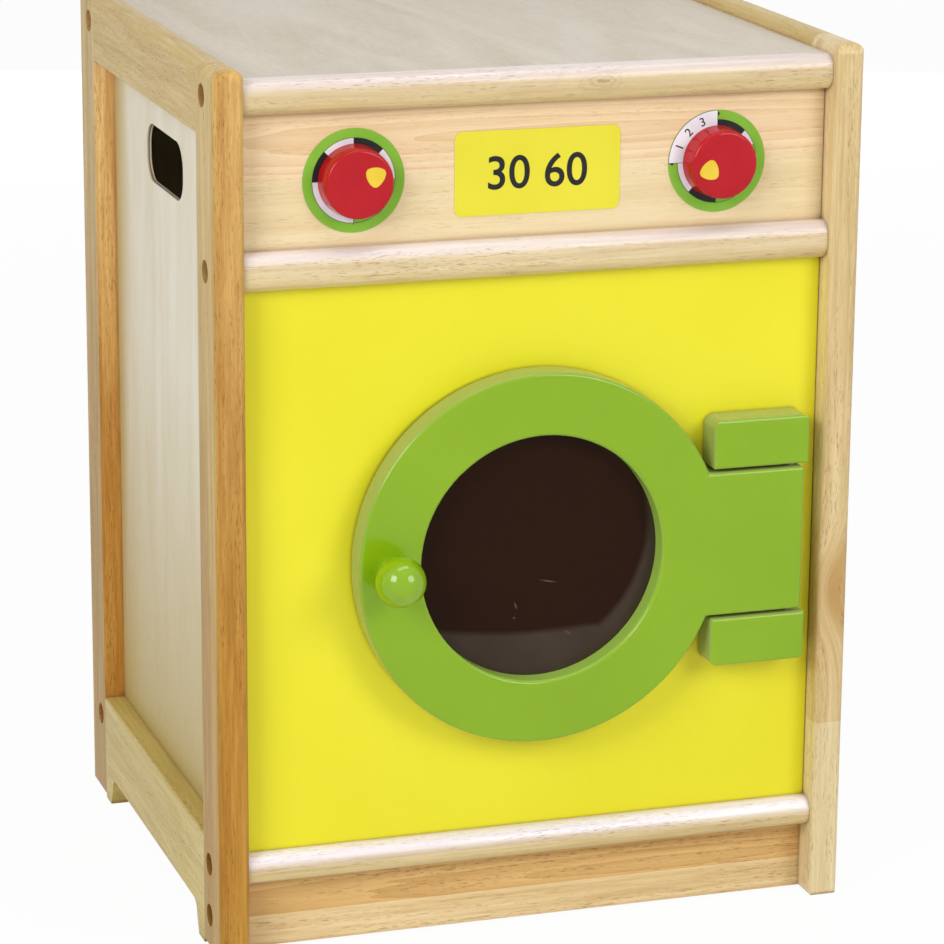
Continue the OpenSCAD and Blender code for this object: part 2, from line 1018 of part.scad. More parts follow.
// The upper block, above the tongue: soft front edges and two rounded outer corners
module hinge_block_shape() {
    difference() {
        intersection() {
            along_y(block_t)
                corner_rect(block_w, block_h, [soft_r, soft_r, block_r, block_r]);
            linear_extrude(block_h)
                corner_rect(block_w, block_t, [edge_r, edge_r, 0, 0]);
            along_x(block_w)
                corner_rect(block_t, block_h, [edge_r, 0, 0, edge_r]);
        }
        translate([block_w - pin_inset, pin_y - door_front, -eps])
            cylinder(r = pin_r + press_fit, h = pin_in_block + fit + eps);
    }
}

module hinge_screw_bores() {
    for (place = hinge_screw_places())
        translate([place[0], front_recess + front_panel_t, place[1]])
            forwards()
                cylinder(r = stout_d / 2 + fit, h = hinge_screw_l + fit);
}

module upper_hinge_block() {
    color(green)
        placed()
            difference() {
                translate([block_left, door_front, door_z + half_gap])
                    hinge_block_shape();
                hinge_screw_bores();
            }
}

module lower_hinge_block() {
    color(green)
        placed()
            difference() {
                translate([block_left, door_front, door_z - half_gap])
                    mirror([0, 0, 1])
                        hinge_block_shape();
                hinge_screw_bores();
            }
}

module hinge_pins() {
    color(steel)
        placed()
            translate([pin_x, pin_y, door_z])
                for (side = [0, 1])
                    mirror([0, 0, side])
                        translate([0, 0, half_tongue - pin_in_tongue])
                            cylinder(r = pin_r, h = pin_in_tongue + hinge_gap + pin_in_block);
}

module hinge_screws() {
    color(steel)
        placed()
            for (place = hinge_screw_places())
                translate([place[0], front_recess + front_panel_t, place[1]])
                    forwards()
                        pan_screw(stout_d, hinge_screw_l, stout_head_d, stout_head_h);
}

module catch_magnet() {
    color(steel)
        placed()
            translate([catch_x, magnet_front, catch_z])
                backwards()
                    cylinder(d = magnet_d, h = magnet_l);
}

// The ring of the door, turned with soft edges and a seat for the pane in its back
module ring_body() {
    backwards()
        rotate_extrude($fn = 144)
            translate([window_r, 0])
                corner_rect(ring_r - window_r, door_t, [edge_r, edge_r, edge_r, 0]);
}

// The tongue that carries the hinge, with its rear corner rounded so that it can swing
module tongue_body() {
    root = (pane_r + ring_r) / 2;
    length = pin_x - middle_x + tongue_overhang - root;
    translate([root, 0, -half_tongue])
        intersection() {
            linear_extrude(tongue_h)
                corner_rect(length, door_t, [0, edge_r, heel_r, 0]);
            along_x(length)
                corner_rect(door_t, tongue_h, [edge_r, edge_r, edge_r, edge_r]);
            along_y(door_t)
                corner_rect(length, tongue_h, [0, edge_r, edge_r, 0]);
        }
}

// The cove in the corner between the ring's rim and the tongue's upper edge
module tongue_fillet() {
    reach = ring_r + tongue_fillet_r;
    rise = half_tongue + tongue_fillet_r;
    run = sqrt(pow(reach, 2) - pow(rise, 2));
    share = ring_r / reach;
    translate([0, edge_r, 0])
        along_y(door_t - 2 * edge_r)
            difference() {
                polygon([
                    [run * share, rise * share],
                    [run * share, half_tongue - edge_r],
                    [run, half_tongue - edge_r],
                    [run, half_tongue]
                ]);
                translate([run, rise])
                    circle(tongue_fillet_r);
            }
}

function pane_screw_place(i) = [
    pane_screw_r * cos(360 * (i + 0.5) / pane_screws),
    pane_screw_r * sin(360 * (i + 0.5) / pane_screws)
];

module door_ring() {
    color(green)
        placed()
            difference() {
                translate([middle_x, door_front, door_z]) {
                    ring_body();
                    tongue_body();
                    tongue_fillet();
                    mirror([0, 0, 1])
                        tongue_fillet();
                }
                translate([middle_x, pane_front, door_z])
                    backwards()
                        cylinder(r = pane_r, h = pane_seat + eps, $fn = 144);
                for (i = [0 : pane_screws - 1])
                    translate([middle_x, pane_front + eps, door_z])
                        forwards()
                            translate(pane_screw_place(i))
                                cylinder(r = screw_d / 2 + fit, h = pilot_l + eps);
                for (side = [0, 1])
                    translate([pin_x, pin_y, door_z])
                        mirror([0, 0, side])
                            translate([0, 0, half_tongue - pin_in_tongue - pin_end_gap])
                                cylinder(r = pin_r + pin_play,
                                    h = pin_in_tongue + pin_end_gap + eps);
                translate([knob_x, door_rear + eps, door_z])
                    forwards() {
                        cylinder(r = stout_head_d / 2 + 2 * fit, h = stout_seat + eps);
                        cylinder(r = stout_d / 2 + fit, h = door_t + 2 * eps);
                    }
                translate([catch_x, door_rear - plate_t + plate_proud, catch_z])
                    backwards()
                        cylinder(r = plate_r + fit, h = plate_t + eps);
                translate([catch_x, door_rear + plate_proud, catch_z])
                    forwards()
                        cylinder(r = screw_d / 2 + fit, h = catch_screw_l + fit);
            }
}

module door_window() {
    color(smoke)
        placed()
            translate([middle_x, pane_front, door_z])
                difference() {
                    backwards()
                        cylinder(r = pane_r - pane_gap, h = pane_t, $fn = 144);
                    translate([0, pane_t + eps, 0])
                        forwards()
                            for (i = [0 : pane_screws - 1])
                                translate(pane_screw_place(i))
                                    cylinder(r = screw_d / 2 + fit, h = pane_t + 2 * eps);
                }
}

module window_screws() {
    color(steel)
        placed()
            translate([middle_x, pane_front + pane_t, door_z])
                forwards()
                    for (i = [0 : pane_screws - 1])
                        translate(pane_screw_place(i))
                            pan_screw(screw_d, screw_l - fit, screw_head_d, screw_head_h);
}

// A turned ball on a neck that flares out onto the door
module door_knob() {
    flare = (knob_foot_d - knob_neck_d) / 2;
    lip = 1.5;
    color(green)
        placed()
            translate([knob_x, door_front, door_z])
                forwards()
                    difference() {
                        rotate_extrude() {
                            square([knob_foot_d / 2, lip]);
                            square([knob_neck_d / 2, ball_reach]);
                            difference() {
                                square([knob_foot_d / 2, lip + flare]);
                                translate([knob_foot_d / 2, lip + flare])
                                    circle(flare);
                            }
                            intersection() {
                                translate([0, ball_reach])
                                    circle(d = ball_d);
                                square(ball_reach + ball_d);
                            }
                        }
                        translate([0, 0, -eps])
                            cylinder(r = stout_d / 2 + fit,
                                h = knob_screw_l - door_t + stout_seat + fit + eps);
                    }
}

module door_knob_screw() {
    color(steel)
        placed()
            translate([knob_x, door_rear - stout_seat, door_z])
                forwards() {
                    cylinder(d = stout_d, h = knob_screw_l);
                    translate([0, 0, -stout_head_h])
                        cylinder(d = stout_head_d, h = stout_head_h);
                }
}

// The catch's flat-headed screw, or its hole when it is made larger by some play
module catch_screw_shape(play) {
    cylinder(r1 = catch_screw_head_r + play, r2 = screw_d / 2 + play, h = plate_t);
    cylinder(r = screw_d / 2 + play, h = catch_screw_l);
}

module catch_plate() {
    color(steel)
        placed()
            translate([catch_x, door_rear + plate_proud, catch_z])
                forwards()
                    difference() {
                        cylinder(r = plate_r, h = plate_t);
                        translate([0, 0, -fit])
                            catch_screw_shape(fit);
                    }
}

module catch_screw() {
    color(steel)
        placed()
            translate([catch_x, door_rear + plate_proud, catch_z])
                forwards()
                    catch_screw_shape(0);
}

left_front_post();
right_front_post();
left_rear_post();
right_rear_post();
left_top_rail();
right_top_rail();
left_bottom_rail();
right_bottom_rail();
left_side_panel();
right_side_panel();
top_board();
top_nosing();
control_board();
middle_rail();
front_panel();
floor_board();
lower_nosing();
kick_board();
back_panel();
frame_bolts();
barrel_nuts();
rail_dowels();
board_dowels();
back_screws();
label_plate();
left_dial();
right_dial();
dial_washers();
left_knob();
left_pointer();
left_axle();
right_knob();
right_pointer();
right_axle();
upper_hinge_block();
lower_hinge_block();
hinge_pins();
hinge_screws();
catch_magnet();
door_ring();
door_window();
window_screws();
door_knob();
door_knob_screw();
catch_plate();
catch_screw();
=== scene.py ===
# %% [markdown]
# # A toy washing machine
# The solids come packed from the CAD source and are never touched here. This lesson gives them
# their woods, paints and films, adds the printed dials, the numbers and the screws, and then sets
# up the floor, the light and the camera.

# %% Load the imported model
import json
import math

import bmesh
import bpy
from mathutils import Matrix, Vector


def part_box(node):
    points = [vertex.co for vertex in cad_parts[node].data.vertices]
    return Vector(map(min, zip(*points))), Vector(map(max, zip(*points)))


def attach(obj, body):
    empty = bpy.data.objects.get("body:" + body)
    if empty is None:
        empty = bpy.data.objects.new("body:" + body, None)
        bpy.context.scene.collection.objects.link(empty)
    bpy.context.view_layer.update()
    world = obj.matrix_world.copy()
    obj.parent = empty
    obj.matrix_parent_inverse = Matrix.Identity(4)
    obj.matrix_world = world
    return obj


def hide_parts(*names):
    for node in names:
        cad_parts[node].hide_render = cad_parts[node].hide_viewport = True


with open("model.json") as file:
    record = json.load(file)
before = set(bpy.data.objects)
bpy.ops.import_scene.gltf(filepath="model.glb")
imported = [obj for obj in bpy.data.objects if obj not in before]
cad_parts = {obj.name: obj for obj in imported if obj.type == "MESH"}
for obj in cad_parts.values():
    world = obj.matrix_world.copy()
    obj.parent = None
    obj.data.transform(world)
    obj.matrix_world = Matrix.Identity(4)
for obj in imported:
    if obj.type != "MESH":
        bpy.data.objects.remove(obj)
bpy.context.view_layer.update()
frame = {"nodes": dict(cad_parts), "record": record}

MM = 0.001
nodes = frame["nodes"]

# %% [markdown]
# ## The camera
# The toy was photographed from the left, a little above its top. The place and the lens were
# fitted to the posts' edges in the picture, so they are written as plain numbers. A camera looks
# along its own -Z, and its columns are right, up and backwards. The small roll is the picture's.

# %% Camera
camera_place = Vector((-0.7859, -2.4207, 0.9635))
camera_aim = Vector((-0.0420, -0.148, 0.3121))
camera_roll = math.radians(0.459)
lens_mm, sensor_mm = 147.52, 36

ahead = (camera_aim - camera_place).normalized()
level = ahead.cross(Vector((0, 0, 1))).normalized()
upward = level.cross(ahead)
right = level * math.cos(camera_roll) + upward * math.sin(camera_roll)
up = upward * math.cos(camera_roll) - level * math.sin(camera_roll)

camera_data = bpy.data.cameras.new("picture_camera")
camera_data.sensor_width = sensor_mm
camera_data.lens = lens_mm
camera = bpy.data.objects.new("picture_camera", camera_data)
bpy.context.scene.collection.objects.link(camera)
camera_turn = Matrix((right, up, -ahead)).transposed().to_4x4()
camera.matrix_world = Matrix.Translation(camera_place) @ camera_turn
bpy.context.scene.camera = camera
print("camera is", round((camera_aim - camera_place).length, 2), "m from the toy")

# %% [markdown]
# ## Helpers for materials
# Every finish is a small tree of nodes. `add` makes one node, sets its options and fills its
# sockets: a socket gets either a number or another node's output. Colours are written as a
# painter reads them from a screen, 0 to 255, and turned into the linear light that Cycles uses.

# %% Colours and nodes
def linear(channel):
    """One channel of a screen colour, 0 to 255, as linear light."""
    share = channel / 255
    return share / 12.92 if share < 0.04045 else ((share + 0.055) / 1.055) ** 2.4


def rgb(red, green, blue):
    """A screen colour as linear light, opaque."""
    return (linear(red), linear(green), linear(blue), 1.0)


def add(tree, kind, inputs=None, **options):
    """One node of a tree, with its options and its sockets filled."""
    node = tree.nodes.new(kind)
    for name, value in options.items():
        setattr(node, name, value)
    for name, value in (inputs or {}).items():
        if isinstance(value, bpy.types.NodeSocket):
            tree.links.new(value, node.inputs[name])
        else:
            node.inputs[name].default_value = value
    return node


def new_material(name):
    """An empty material with one Principled shader and the piece's own coordinates."""
    material = bpy.data.materials.new(name)
    material.use_nodes = True
    tree = material.node_tree
    tree.nodes.clear()
    shader = add(tree, "ShaderNodeBsdfPrincipled")
    add(tree, "ShaderNodeOutputMaterial", {"Surface": shader.outputs["BSDF"]})
    place = add(tree, "ShaderNodeTexCoord")
    return material, tree, shader, place


# %% [markdown]
# A pattern is a number at each point of a surface. These helpers reckon with such numbers, turn
# them into colours, and give the result to the shader as colour, gloss and relief.

# %% Patterns
def calculate(tree, operation, first, second=0.0):
    return add(tree, "ShaderNodeMath", {0: first, 1: second}, operation=operation).outputs[0]


def times(tree, first, second):
    return calculate(tree, "MULTIPLY", first, second)


def axes_of(tree, vector):
    """The X, Y and Z of a vector."""
    return add(tree, "ShaderNodeSeparateXYZ", {"Vector": vector}).outputs


def from_point(tree, vector, point):
    """A vector as measured from a point."""
    return add(tree, "ShaderNodeVectorMath", {0: vector, 1: point},
               operation="SUBTRACT").outputs[0]


def length_of(tree, vector):
    return add(tree, "ShaderNodeVectorMath", {0: vector}, operation="LENGTH").outputs["Value"]


def noise(tree, vector, scale, detail=2.0, distortion=0.0, roughness=0.5):
    return add(tree, "ShaderNodeTexNoise", {
        "Vector": vector, "Scale": scale, "Detail": detail,
        "Roughness": roughness, "Distortion": distortion,
    }).outputs["Fac"]


def spread(tree, value, low, high, to_low=0.0, to_high=1.0):
    """Stretches a band of a pattern to another band."""
    return add(tree, "ShaderNodeMapRange", {
        "Value": value, "From Min": low, "From Max": high, "To Min": to_low, "To Max": to_high,
    }).outputs["Result"]


def blend_colour(tree, share, first, second, way="MIX"):
    """The second colour laid over the first, or multiplied with it, by a share from 0 to 1."""
    return add(tree, "ShaderNodeMix", {0: share, 6: first, 7: second}, data_type="RGBA",
               blend_type=way).outputs[2]


def painted_corner_shade(tree, colour, distance, brown, strength, open_share=0.8, closed_share=0.4,
               own=False):
    """Paints shade: browns a colour where other surfaces, or only the piece's own, stand close
    to it.
    """
    open_air = add(tree, "ShaderNodeAmbientOcclusion", {"Distance": distance}, samples=4,
                   only_local=own)
    close = spread(tree, open_air.outputs["AO"], open_share, closed_share, 0, strength)
    return blend_colour(tree, close, colour, brown)


def give_surface(tree, shader, colour, gloss, relief, strength, depth, specular):
    """Links a colour, a roughness and a relief of some depth to the shader."""
    tree.links.new(colour, shader.inputs["Base Color"])
    tree.links.new(gloss, shader.inputs["Roughness"])
    bump = add(tree, "ShaderNodeBump", {"Height": relief, "Strength": strength, "Distance": depth})
    tree.links.new(bump.outputs["Normal"], shader.inputs["Normal"])
    shader.inputs["Specular IOR Level"].default_value = specular


# %% [markdown]
# ## Grain, growth rings and knots
# Wood's figure is drawn out along the grain, so its patterns are made on coordinates that a
# Mapping node presses together in that direction. Where a branch left the tree, the grain swings
# round it, and the coordinates are pushed sideways by a bell that fades out above and below. A knot
# that the saw cut across is drawn as rings of distance from its middle, made uneven by a noise.

# %% Grain, growth rings and knots
GRAIN = {"X": Vector((1, 0, 0)), "Y": Vector((0, 1, 0)), "Z": Vector((0, 0, 1))}
KNOT_RING, KNOT_HEART = rgb(164, 122, 72), rgb(134, 92, 52)


def nearness(tree, place, height, reach):
    """1 at a height and falling to 0 above and below it, as a bell does."""
    above = calculate(tree, "SUBTRACT", axes_of(tree, place.outputs["Object"])["Z"], height)
    away = calculate(tree, "DIVIDE", above, reach)
    return calculate(tree, "EXPONENT", times(tree, times(tree, away, away), -1.0))


def along_grain(tree, place, along, share, bend=None):
    """The piece's coordinates, pressed together along the grain to a share of their length. bend is
    the (height, reach, sideways) of a place where the grain swings round a branch."""
    vector = place.outputs["Object"]
    if bend:
        height, reach, sideways = bend
        swing = times(tree, nearness(tree, place, height, reach), sideways)
        swung = add(tree, "ShaderNodeCombineXYZ", {"X": swing})
        vector = add(tree, "ShaderNodeVectorMath", {0: vector, 1: swung.outputs[0]}).outputs[0]
    scale = Vector((1, 1, 1)) - GRAIN[along] * (1 - share)
    return add(tree, "ShaderNodeMapping", {"Vector": vector, "Scale": scale}).outputs[0]


def growth_arches(tree, vector, tone, middle):
    """The pointed rings that a board shows where it was cut near the edge of the log."""
    rings = add(tree, "ShaderNodeTexWave", {
        "Vector": from_point(tree, vector, middle),
        "Scale": 62, "Distortion": 5.5, "Detail": 2, "Detail Scale": 1.2,
    }, wave_type="RINGS", rings_direction="Y", wave_profile="SAW").outputs["Fac"]
    return calculate(tree, "ADD", times(tree, tone, 0.45), times(tree, rings, 0.55))


def around_knots(tree, place, colour, along, knots):
    """Draws dark rings round small knots. Each knot is (x, z, radius) of a branch that ran to the
    front."""
    for x, z, radius in knots:
        centred = from_point(tree, place.outputs["Object"], (x, 0, z))
        pressed = (Vector((1, 0, 1)) - GRAIN[along] * 0.6) / radius
        drawn = add(tree, "ShaderNodeMapping", {"Vector": centred, "Scale": pressed}).outputs[0]
        uneven = times(tree, noise(tree, drawn, 0.9, 2, 0.6), 1.6)
        distance = calculate(tree, "ADD", length_of(tree, drawn), uneven)
        rings = calculate(tree, "PINGPONG", times(tree, distance, 2.6), 1.0)
        ringed = times(tree, rings, spread(tree, distance, 3.6, 1.2, 0, 0.5))
        heart = spread(tree, distance, 1.25, 0.9, 0, 0.45)
        colour = blend_colour(tree, ringed, colour, KNOT_RING)
        colour = blend_colour(tree, heart, colour, KNOT_HEART)
    return colour


# %% [markdown]
# ## Lacquered wood
# The frame is a tropical hardwood under clear satin lacquer. Three things tell the eye that it is
# wood: slow bands of tone along the board, fine fibres inside them, and short dark pores like
# pencil dashes. Each is a noise on the pressed coordinates. Faces that look forwards or backwards
# take a warmer tone, chosen by the piece's own normal. In corners and bores, where little light
# gets in, shade is painted: the wood is browner there, and Ambient Occlusion finds those places.

# %% Lacquered wood
PORE, BRANCH_WOOD = rgb(150, 112, 76), rgb(186, 146, 84)
CORNER_SHADE, BORE_SHADE = rgb(112, 70, 30), rgb(62, 38, 18)


def lacquered_wood(name, pale, deep, along, edge=None, upper=None, stave=None, arches=None,
                   pore_depth=0.5, coat=0.12, specular=0.3, bored=False, foot=None, bend=None,
                   knots=()):
    """Clear-lacquered hardwood. edge is the (pale, deep) of faces that look forwards or backwards,
    upper of a painted highlight on faces that look up, and foot tints the wood towards the floor.
    stave is (height, pale, deep) of the stave above that height, and arches the middle of its
    figure."""
    material, tree, shader, place = new_material(name)
    long_grain = along_grain(tree, place, along, 0.045, bend)
    short_grain = along_grain(tree, place, along, 0.09, bend)
    bands = noise(tree, long_grain, 42, 2, 1.4)
    fibres = noise(tree, long_grain, 420, 4, 0.3, 0.65)
    tone = calculate(tree, "ADD", times(tree, bands, 0.55), times(tree, fibres, 0.45))
    tone = spread(tree, tone, 0.38, 0.62)
    colour = blend_colour(tree, tone, pale, deep)
    height = axes_of(tree, place.outputs["Object"])["Z"]
    facing = axes_of(tree, place.outputs["Normal"])
    if stave:
        above = calculate(tree, "GREATER_THAN", height, stave[0])
        rings = growth_arches(tree, long_grain, tone, arches) if arches else tone
        colour = blend_colour(tree, above, colour, blend_colour(tree, rings, *stave[1:]))
    # Faces that look forwards or backwards take a warmer tone, chosen by the piece's own normal.
    if edge:
        forwards = spread(tree, calculate(tree, "ABSOLUTE", facing["Y"]), 0.35, 0.85)
        colour = blend_colour(tree, forwards, colour, blend_colour(tree, tone, *edge))
    # Painted highlight: faces that look up are paler, for the light they catch from above.
    if upper:
        upwards = spread(tree, facing["Z"], -0.1, 0.55)
        colour = blend_colour(tree, upwards, colour, blend_colour(tree, tone, *upper))
    if bend:
        near = nearness(tree, place, bend[0], bend[1])
        figured = times(tree, near, spread(tree, bands, 0.3, 0.6, 0.2, 0.9))
        colour = blend_colour(tree, figured, colour, BRANCH_WOOD)
    if foot:
        low = spread(tree, height, 0.52, 0.2)
        colour = blend_colour(tree, low, colour, foot, "MULTIPLY")
    colour = around_knots(tree, place, colour, along, knots)
    dashes = spread(tree, noise(tree, short_grain, 1700, 1, 0.0), 0.6, 0.66)
    groups = spread(tree, noise(tree, long_grain, 150, 1), 0.4, 0.62, 0.15, 1)
    pores = times(tree, dashes, groups)
    colour = blend_colour(tree, times(tree, pores, pore_depth), colour, PORE, "MULTIPLY")
    # Painted shade: browner in corners, and deep brown in bores, where Ambient Occlusion finds
    # little open air.
    colour = painted_corner_shade(tree, colour, 5 * MM, CORNER_SHADE, 0.6)
    if bored:
        colour = painted_corner_shade(tree, colour, 14 * MM, BORE_SHADE, 0.95, 0.72, 0.1, own=True)
    gloss = spread(tree, fibres, 0.3, 0.7, 0.3, 0.44)
    relief = calculate(tree, "SUBTRACT", times(tree, fibres, 0.3), pores)
    give_surface(tree, shader, colour, gloss, relief, 0.3, 0.1 * MM, specular)
    shader.inputs["Coat Weight"].default_value = coat
    shader.inputs["Coat Roughness"].default_value = 0.2
    return material


# %% [markdown]
# ## The toy's woods
# No two boards of a tree match. The left posts are golden, the right ones pale with a joint near
# the foot, where two staves were glued end to end, and a branch beside it. The rounded mouldings
# carry the most lacquer, and the light they catch along their upper half is a painted highlight,
# a paler tone on the faces that look up. The control board and the kick board are glued up from a
# pale stave and a warmer one with arched rings.

# %% The woods
SATIN = {"coat": 0.03, "specular": 0.12}
GLOSSY = {"coat": 0.6, "pore_depth": 0.45}
POST_FOOT = rgb(233, 216, 166)
RIGHT_POST_BRANCH = (0.215, 0.034, 0.016)
MOULDING_KNOTS = ((0.038, 0.563, 0.003), (-0.02, 0.443, 0.0014))

post_wood = lacquered_wood(
    "post_wood", rgb(217, 190, 126), rgb(188, 156, 90), "Z", bored=True, foot=POST_FOOT,
    edge=(rgb(224, 186, 114), rgb(186, 138, 74)), **SATIN)
# Painted light: the rear post's faces that look forwards or backwards are paler, to make up for the
# shade they stand in.
rear_post_wood = lacquered_wood(
    "rear_post_wood", rgb(214, 188, 124), rgb(184, 152, 88), "Z", bored=True, foot=POST_FOOT,
    edge=(rgb(250, 214, 148), rgb(206, 152, 88)), **SATIN)
pale_post_wood = lacquered_wood(
    "pale_post_wood", rgb(236, 219, 174), rgb(214, 191, 142), "Z", bored=True,
    stave=(0.124, rgb(230, 208, 158), rgb(200, 170, 114)), bend=RIGHT_POST_BRANCH)
rail_wood = lacquered_wood(
    "rail_wood", rgb(213, 187, 124), rgb(192, 162, 98), "Y", **SATIN)
# Painted light: the bottom rails are a lighter, yellower copy of the rail wood, as less light
# reaches them.
low_rail_wood = lacquered_wood(
    "low_rail_wood", rgb(215, 195, 120), rgb(196, 172, 95), "Y", **SATIN)
moulding_wood = lacquered_wood(
    "moulding_wood", rgb(226, 204, 152), rgb(202, 174, 118), "X", knots=MOULDING_KNOTS,
    upper=(rgb(236, 224, 220), rgb(220, 203, 194)), **GLOSSY)
low_nosing_wood = lacquered_wood(
    "low_nosing_wood", rgb(224, 202, 148), rgb(200, 172, 114), "X",
    upper=(rgb(252, 246, 255), rgb(240, 229, 238)), **GLOSSY)
control_wood = lacquered_wood(
    "control_wood", rgb(238, 219, 176), rgb(228, 203, 154), "X", pore_depth=0.2,
    stave=(0.508, rgb(246, 222, 184), rgb(226, 190, 140)), arches=(0.0006, 0, 0.531))
kick_wood = lacquered_wood(
    "kick_wood", rgb(238, 214, 166), rgb(212, 178, 120), "X",
    stave=(0.023, rgb(228, 188, 122), rgb(190, 142, 76)), arches=(0.004, 0, 0.03))
beech = lacquered_wood(
    "beech", rgb(226, 196, 148), rgb(206, 168, 116), "Z", pore_depth=0.3)
print("woods made")

# %% [markdown]
# ## Plywood
# The thin side panels, the top, the floor and the back are pale birch plywood. Its face is peeled
# off the log like paper off a roll, so its figure is broad and cloudy, and it has almost no pores.
# The sides are a little darker and yellower towards the floor and beside the rear posts, and in
# corners the ply is browned as painted shade. Where the sheet is sawn through, as in the handle
# slots, its darker middle ply shows.

# %% Plywood
MIDDLE_PLY, PIN_KNOT, PLY_CORNER_SHADE = rgb(150, 112, 66), rgb(150, 116, 72), rgb(160, 116, 56)


def plywood_face(name, pale, deep, along, foot=None, rear=0.0, core=None):
    """Thin birch plywood with a few pin knots. foot is the yellower tone near the floor and before
    the post at rear, core the (place, thickness) of an upright sheet whose edges show its plies."""
    material, tree, shader, place = new_material(name)
    mapped = along_grain(tree, place, along, 0.16)
    clouds = noise(tree, mapped, 13, 3, 2.2)
    flecks = noise(tree, mapped, 420, 3, 0.2)
    tone = calculate(tree, "ADD", times(tree, clouds, 0.8), times(tree, flecks, 0.2))
    colour = blend_colour(tree, spread(tree, tone, 0.36, 0.66), pale, deep)
    axes = axes_of(tree, place.outputs["Object"])
    if foot:
        low = spread(tree, axes["Z"], 0.36, 0.07)
        beside = spread(tree, axes["Y"], rear - 42 * MM, rear - 8 * MM, 0, 0.8)
        colour = blend_colour(tree, calculate(tree, "MAXIMUM", low, beside), colour, foot)
    if core:
        outwards = calculate(tree, "ABSOLUTE", axes["X"])
        depth = calculate(tree, "ABSOLUTE", calculate(tree, "SUBTRACT", outwards, core[0]))
        inner = calculate(tree, "LESS_THAN", depth, core[1] / 6)
        sideways = calculate(tree, "ABSOLUTE", axes_of(tree, place.outputs["Normal"])["X"])
        sawn = calculate(tree, "LESS_THAN", sideways, 0.5)
        colour = blend_colour(tree, times(tree, inner, sawn), colour, MIDDLE_PLY)
    cells = add(tree, "ShaderNodeTexVoronoi", {"Vector": mapped, "Scale": 22})
    chosen = add(tree, "ShaderNodeSeparateColor", {"Color": cells.outputs["Color"]}).outputs["Red"]
    knots = times(tree, spread(tree, cells.outputs["Distance"], 0.045, 0.02),
                  calculate(tree, "GREATER_THAN", chosen, 0.72))
    colour = blend_colour(tree, times(tree, knots, 0.5), colour, PIN_KNOT)
    # Painted shade: the ply is browned in corners, where other surfaces stand close.
    colour = painted_corner_shade(tree, colour, 6 * MM, PLY_CORNER_SHADE, 0.5)
    gloss = spread(tree, flecks, 0.3, 0.7, 0.42, 0.56)
    give_surface(tree, shader, colour, gloss, flecks, 0.2, 0.06 * MM, 0.25)
    return material


panel_low, panel_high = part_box("left_side_panel")
side_ply = plywood_face("side_ply", rgb(235, 230, 214), rgb(224, 214, 188), "Z",
                        foot=rgb(190, 169, 106), rear=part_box("left_rear_post")[0].y,
                        core=(-(panel_low.x + panel_high.x) / 2, panel_high.x - panel_low.x))
back_ply = plywood_face("back_ply", rgb(228, 217, 192), rgb(214, 198, 164), "Z")
top_ply = plywood_face("top_ply", rgb(218, 208, 194), rgb(204, 192, 172), "Y")
print("side panels are", round((panel_high.x - panel_low.x) * 1000, 1), "mm thick")

# %% [markdown]
# ## Paint, plastic, film and metal
# Sprayed paint on wood is never quite flat: it dries with a fine orange peel, and its tone drifts
# a little over a large panel. Moulded plastic is smoother and glossier. All of them are the same
# small tree with other numbers: a slow noise moves the colour, a fine one moves the gloss and
# raises the surface. The green's faces that don't look forwards or backwards are paler: a painted
# sheen, for the light that their gloss reflects. In the ring's hole they are brighter still, as
# painted light that bounces from wall to wall there. At joints the yellow is browned as painted
# shade.

# %% Smooth finishes
def smooth_finish(name, light, dark, gloss, drift=6, peel=700, peel_depth=0.01, metallic=0.0,
                  specular=0.5, corner=None, painted_sheen=None, hole=None):
    """Paint, plastic, film or metal. gloss is (smoothest, roughest), drift and peel the scales of
    the two noises, corner the tone of painted shade at joints, and painted_sheen the tone of a
    painted sheen on the faces that don't look forwards or backwards. hole is the (middle, tone)
    of a round hole in the piece, whose inner walls take that tone as brighter painted light."""
    material, tree, shader, place = new_material(name)
    slow = noise(tree, place.outputs["Object"], drift, 2)
    fine = noise(tree, place.outputs["Object"], peel, 2)
    colour = blend_colour(tree, spread(tree, slow, 0.35, 0.65), light, dark)
    # Painted light: inside the hole the walls take a brighter tone, for light bounced from wall to
    # wall.
    if hole:
        outward = from_point(tree, place.outputs["Object"], hole[0])
        lean = add(tree, "ShaderNodeVectorMath", {0: outward, 1: place.outputs["Normal"]},
                   operation="DOT_PRODUCT").outputs["Value"]
        painted_sheen = blend_colour(tree, calculate(tree, "LESS_THAN", lean, 0.0), painted_sheen, hole[1])
    # Painted sheen: faces that don't look forwards or backwards are paler, for the light their
    # gloss reflects.
    if painted_sheen:
        facing = calculate(tree, "ABSOLUTE", axes_of(tree, place.outputs["Normal"])["Y"])
        colour = blend_colour(tree, spread(tree, facing, 0.9, 0.25), colour, painted_sheen)
    # Painted shade: the paint is browned at joints, where other surfaces stand close.
    if corner:
        colour = painted_corner_shade(tree, colour, 3 * MM, corner, 0.8)
    roughness = spread(tree, fine, 0.3, 0.7, *gloss)
    give_surface(tree, shader, colour, roughness, fine, 0.3, peel_depth * MM, specular)
    shader.inputs["Metallic"].default_value = metallic
    return material


pane_low, pane_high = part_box("door_window")
pane_middle = (pane_low + pane_high) / 2
pane_radius = (pane_high.x - pane_low.x) / 2

GREEN = {"light": rgb(138, 178, 18), "dark": rgb(133, 173, 14), "gloss": (0.1, 0.15), "drift": 9,
         "peel": 420, "peel_depth": 0.005, "specular": 0.4, "painted_sheen": rgb(157, 173, 98)}
MOULDED = {"gloss": (0.08, 0.12), "peel": 900, "peel_depth": 0.004}
FILM = {"gloss": (0.3, 0.36), "peel": 1800, "peel_depth": 0.004, "specular": 0.3}
INK_COAT = {"drift": 90, "peel": 1800, "peel_depth": 0.003, "specular": 0.3}

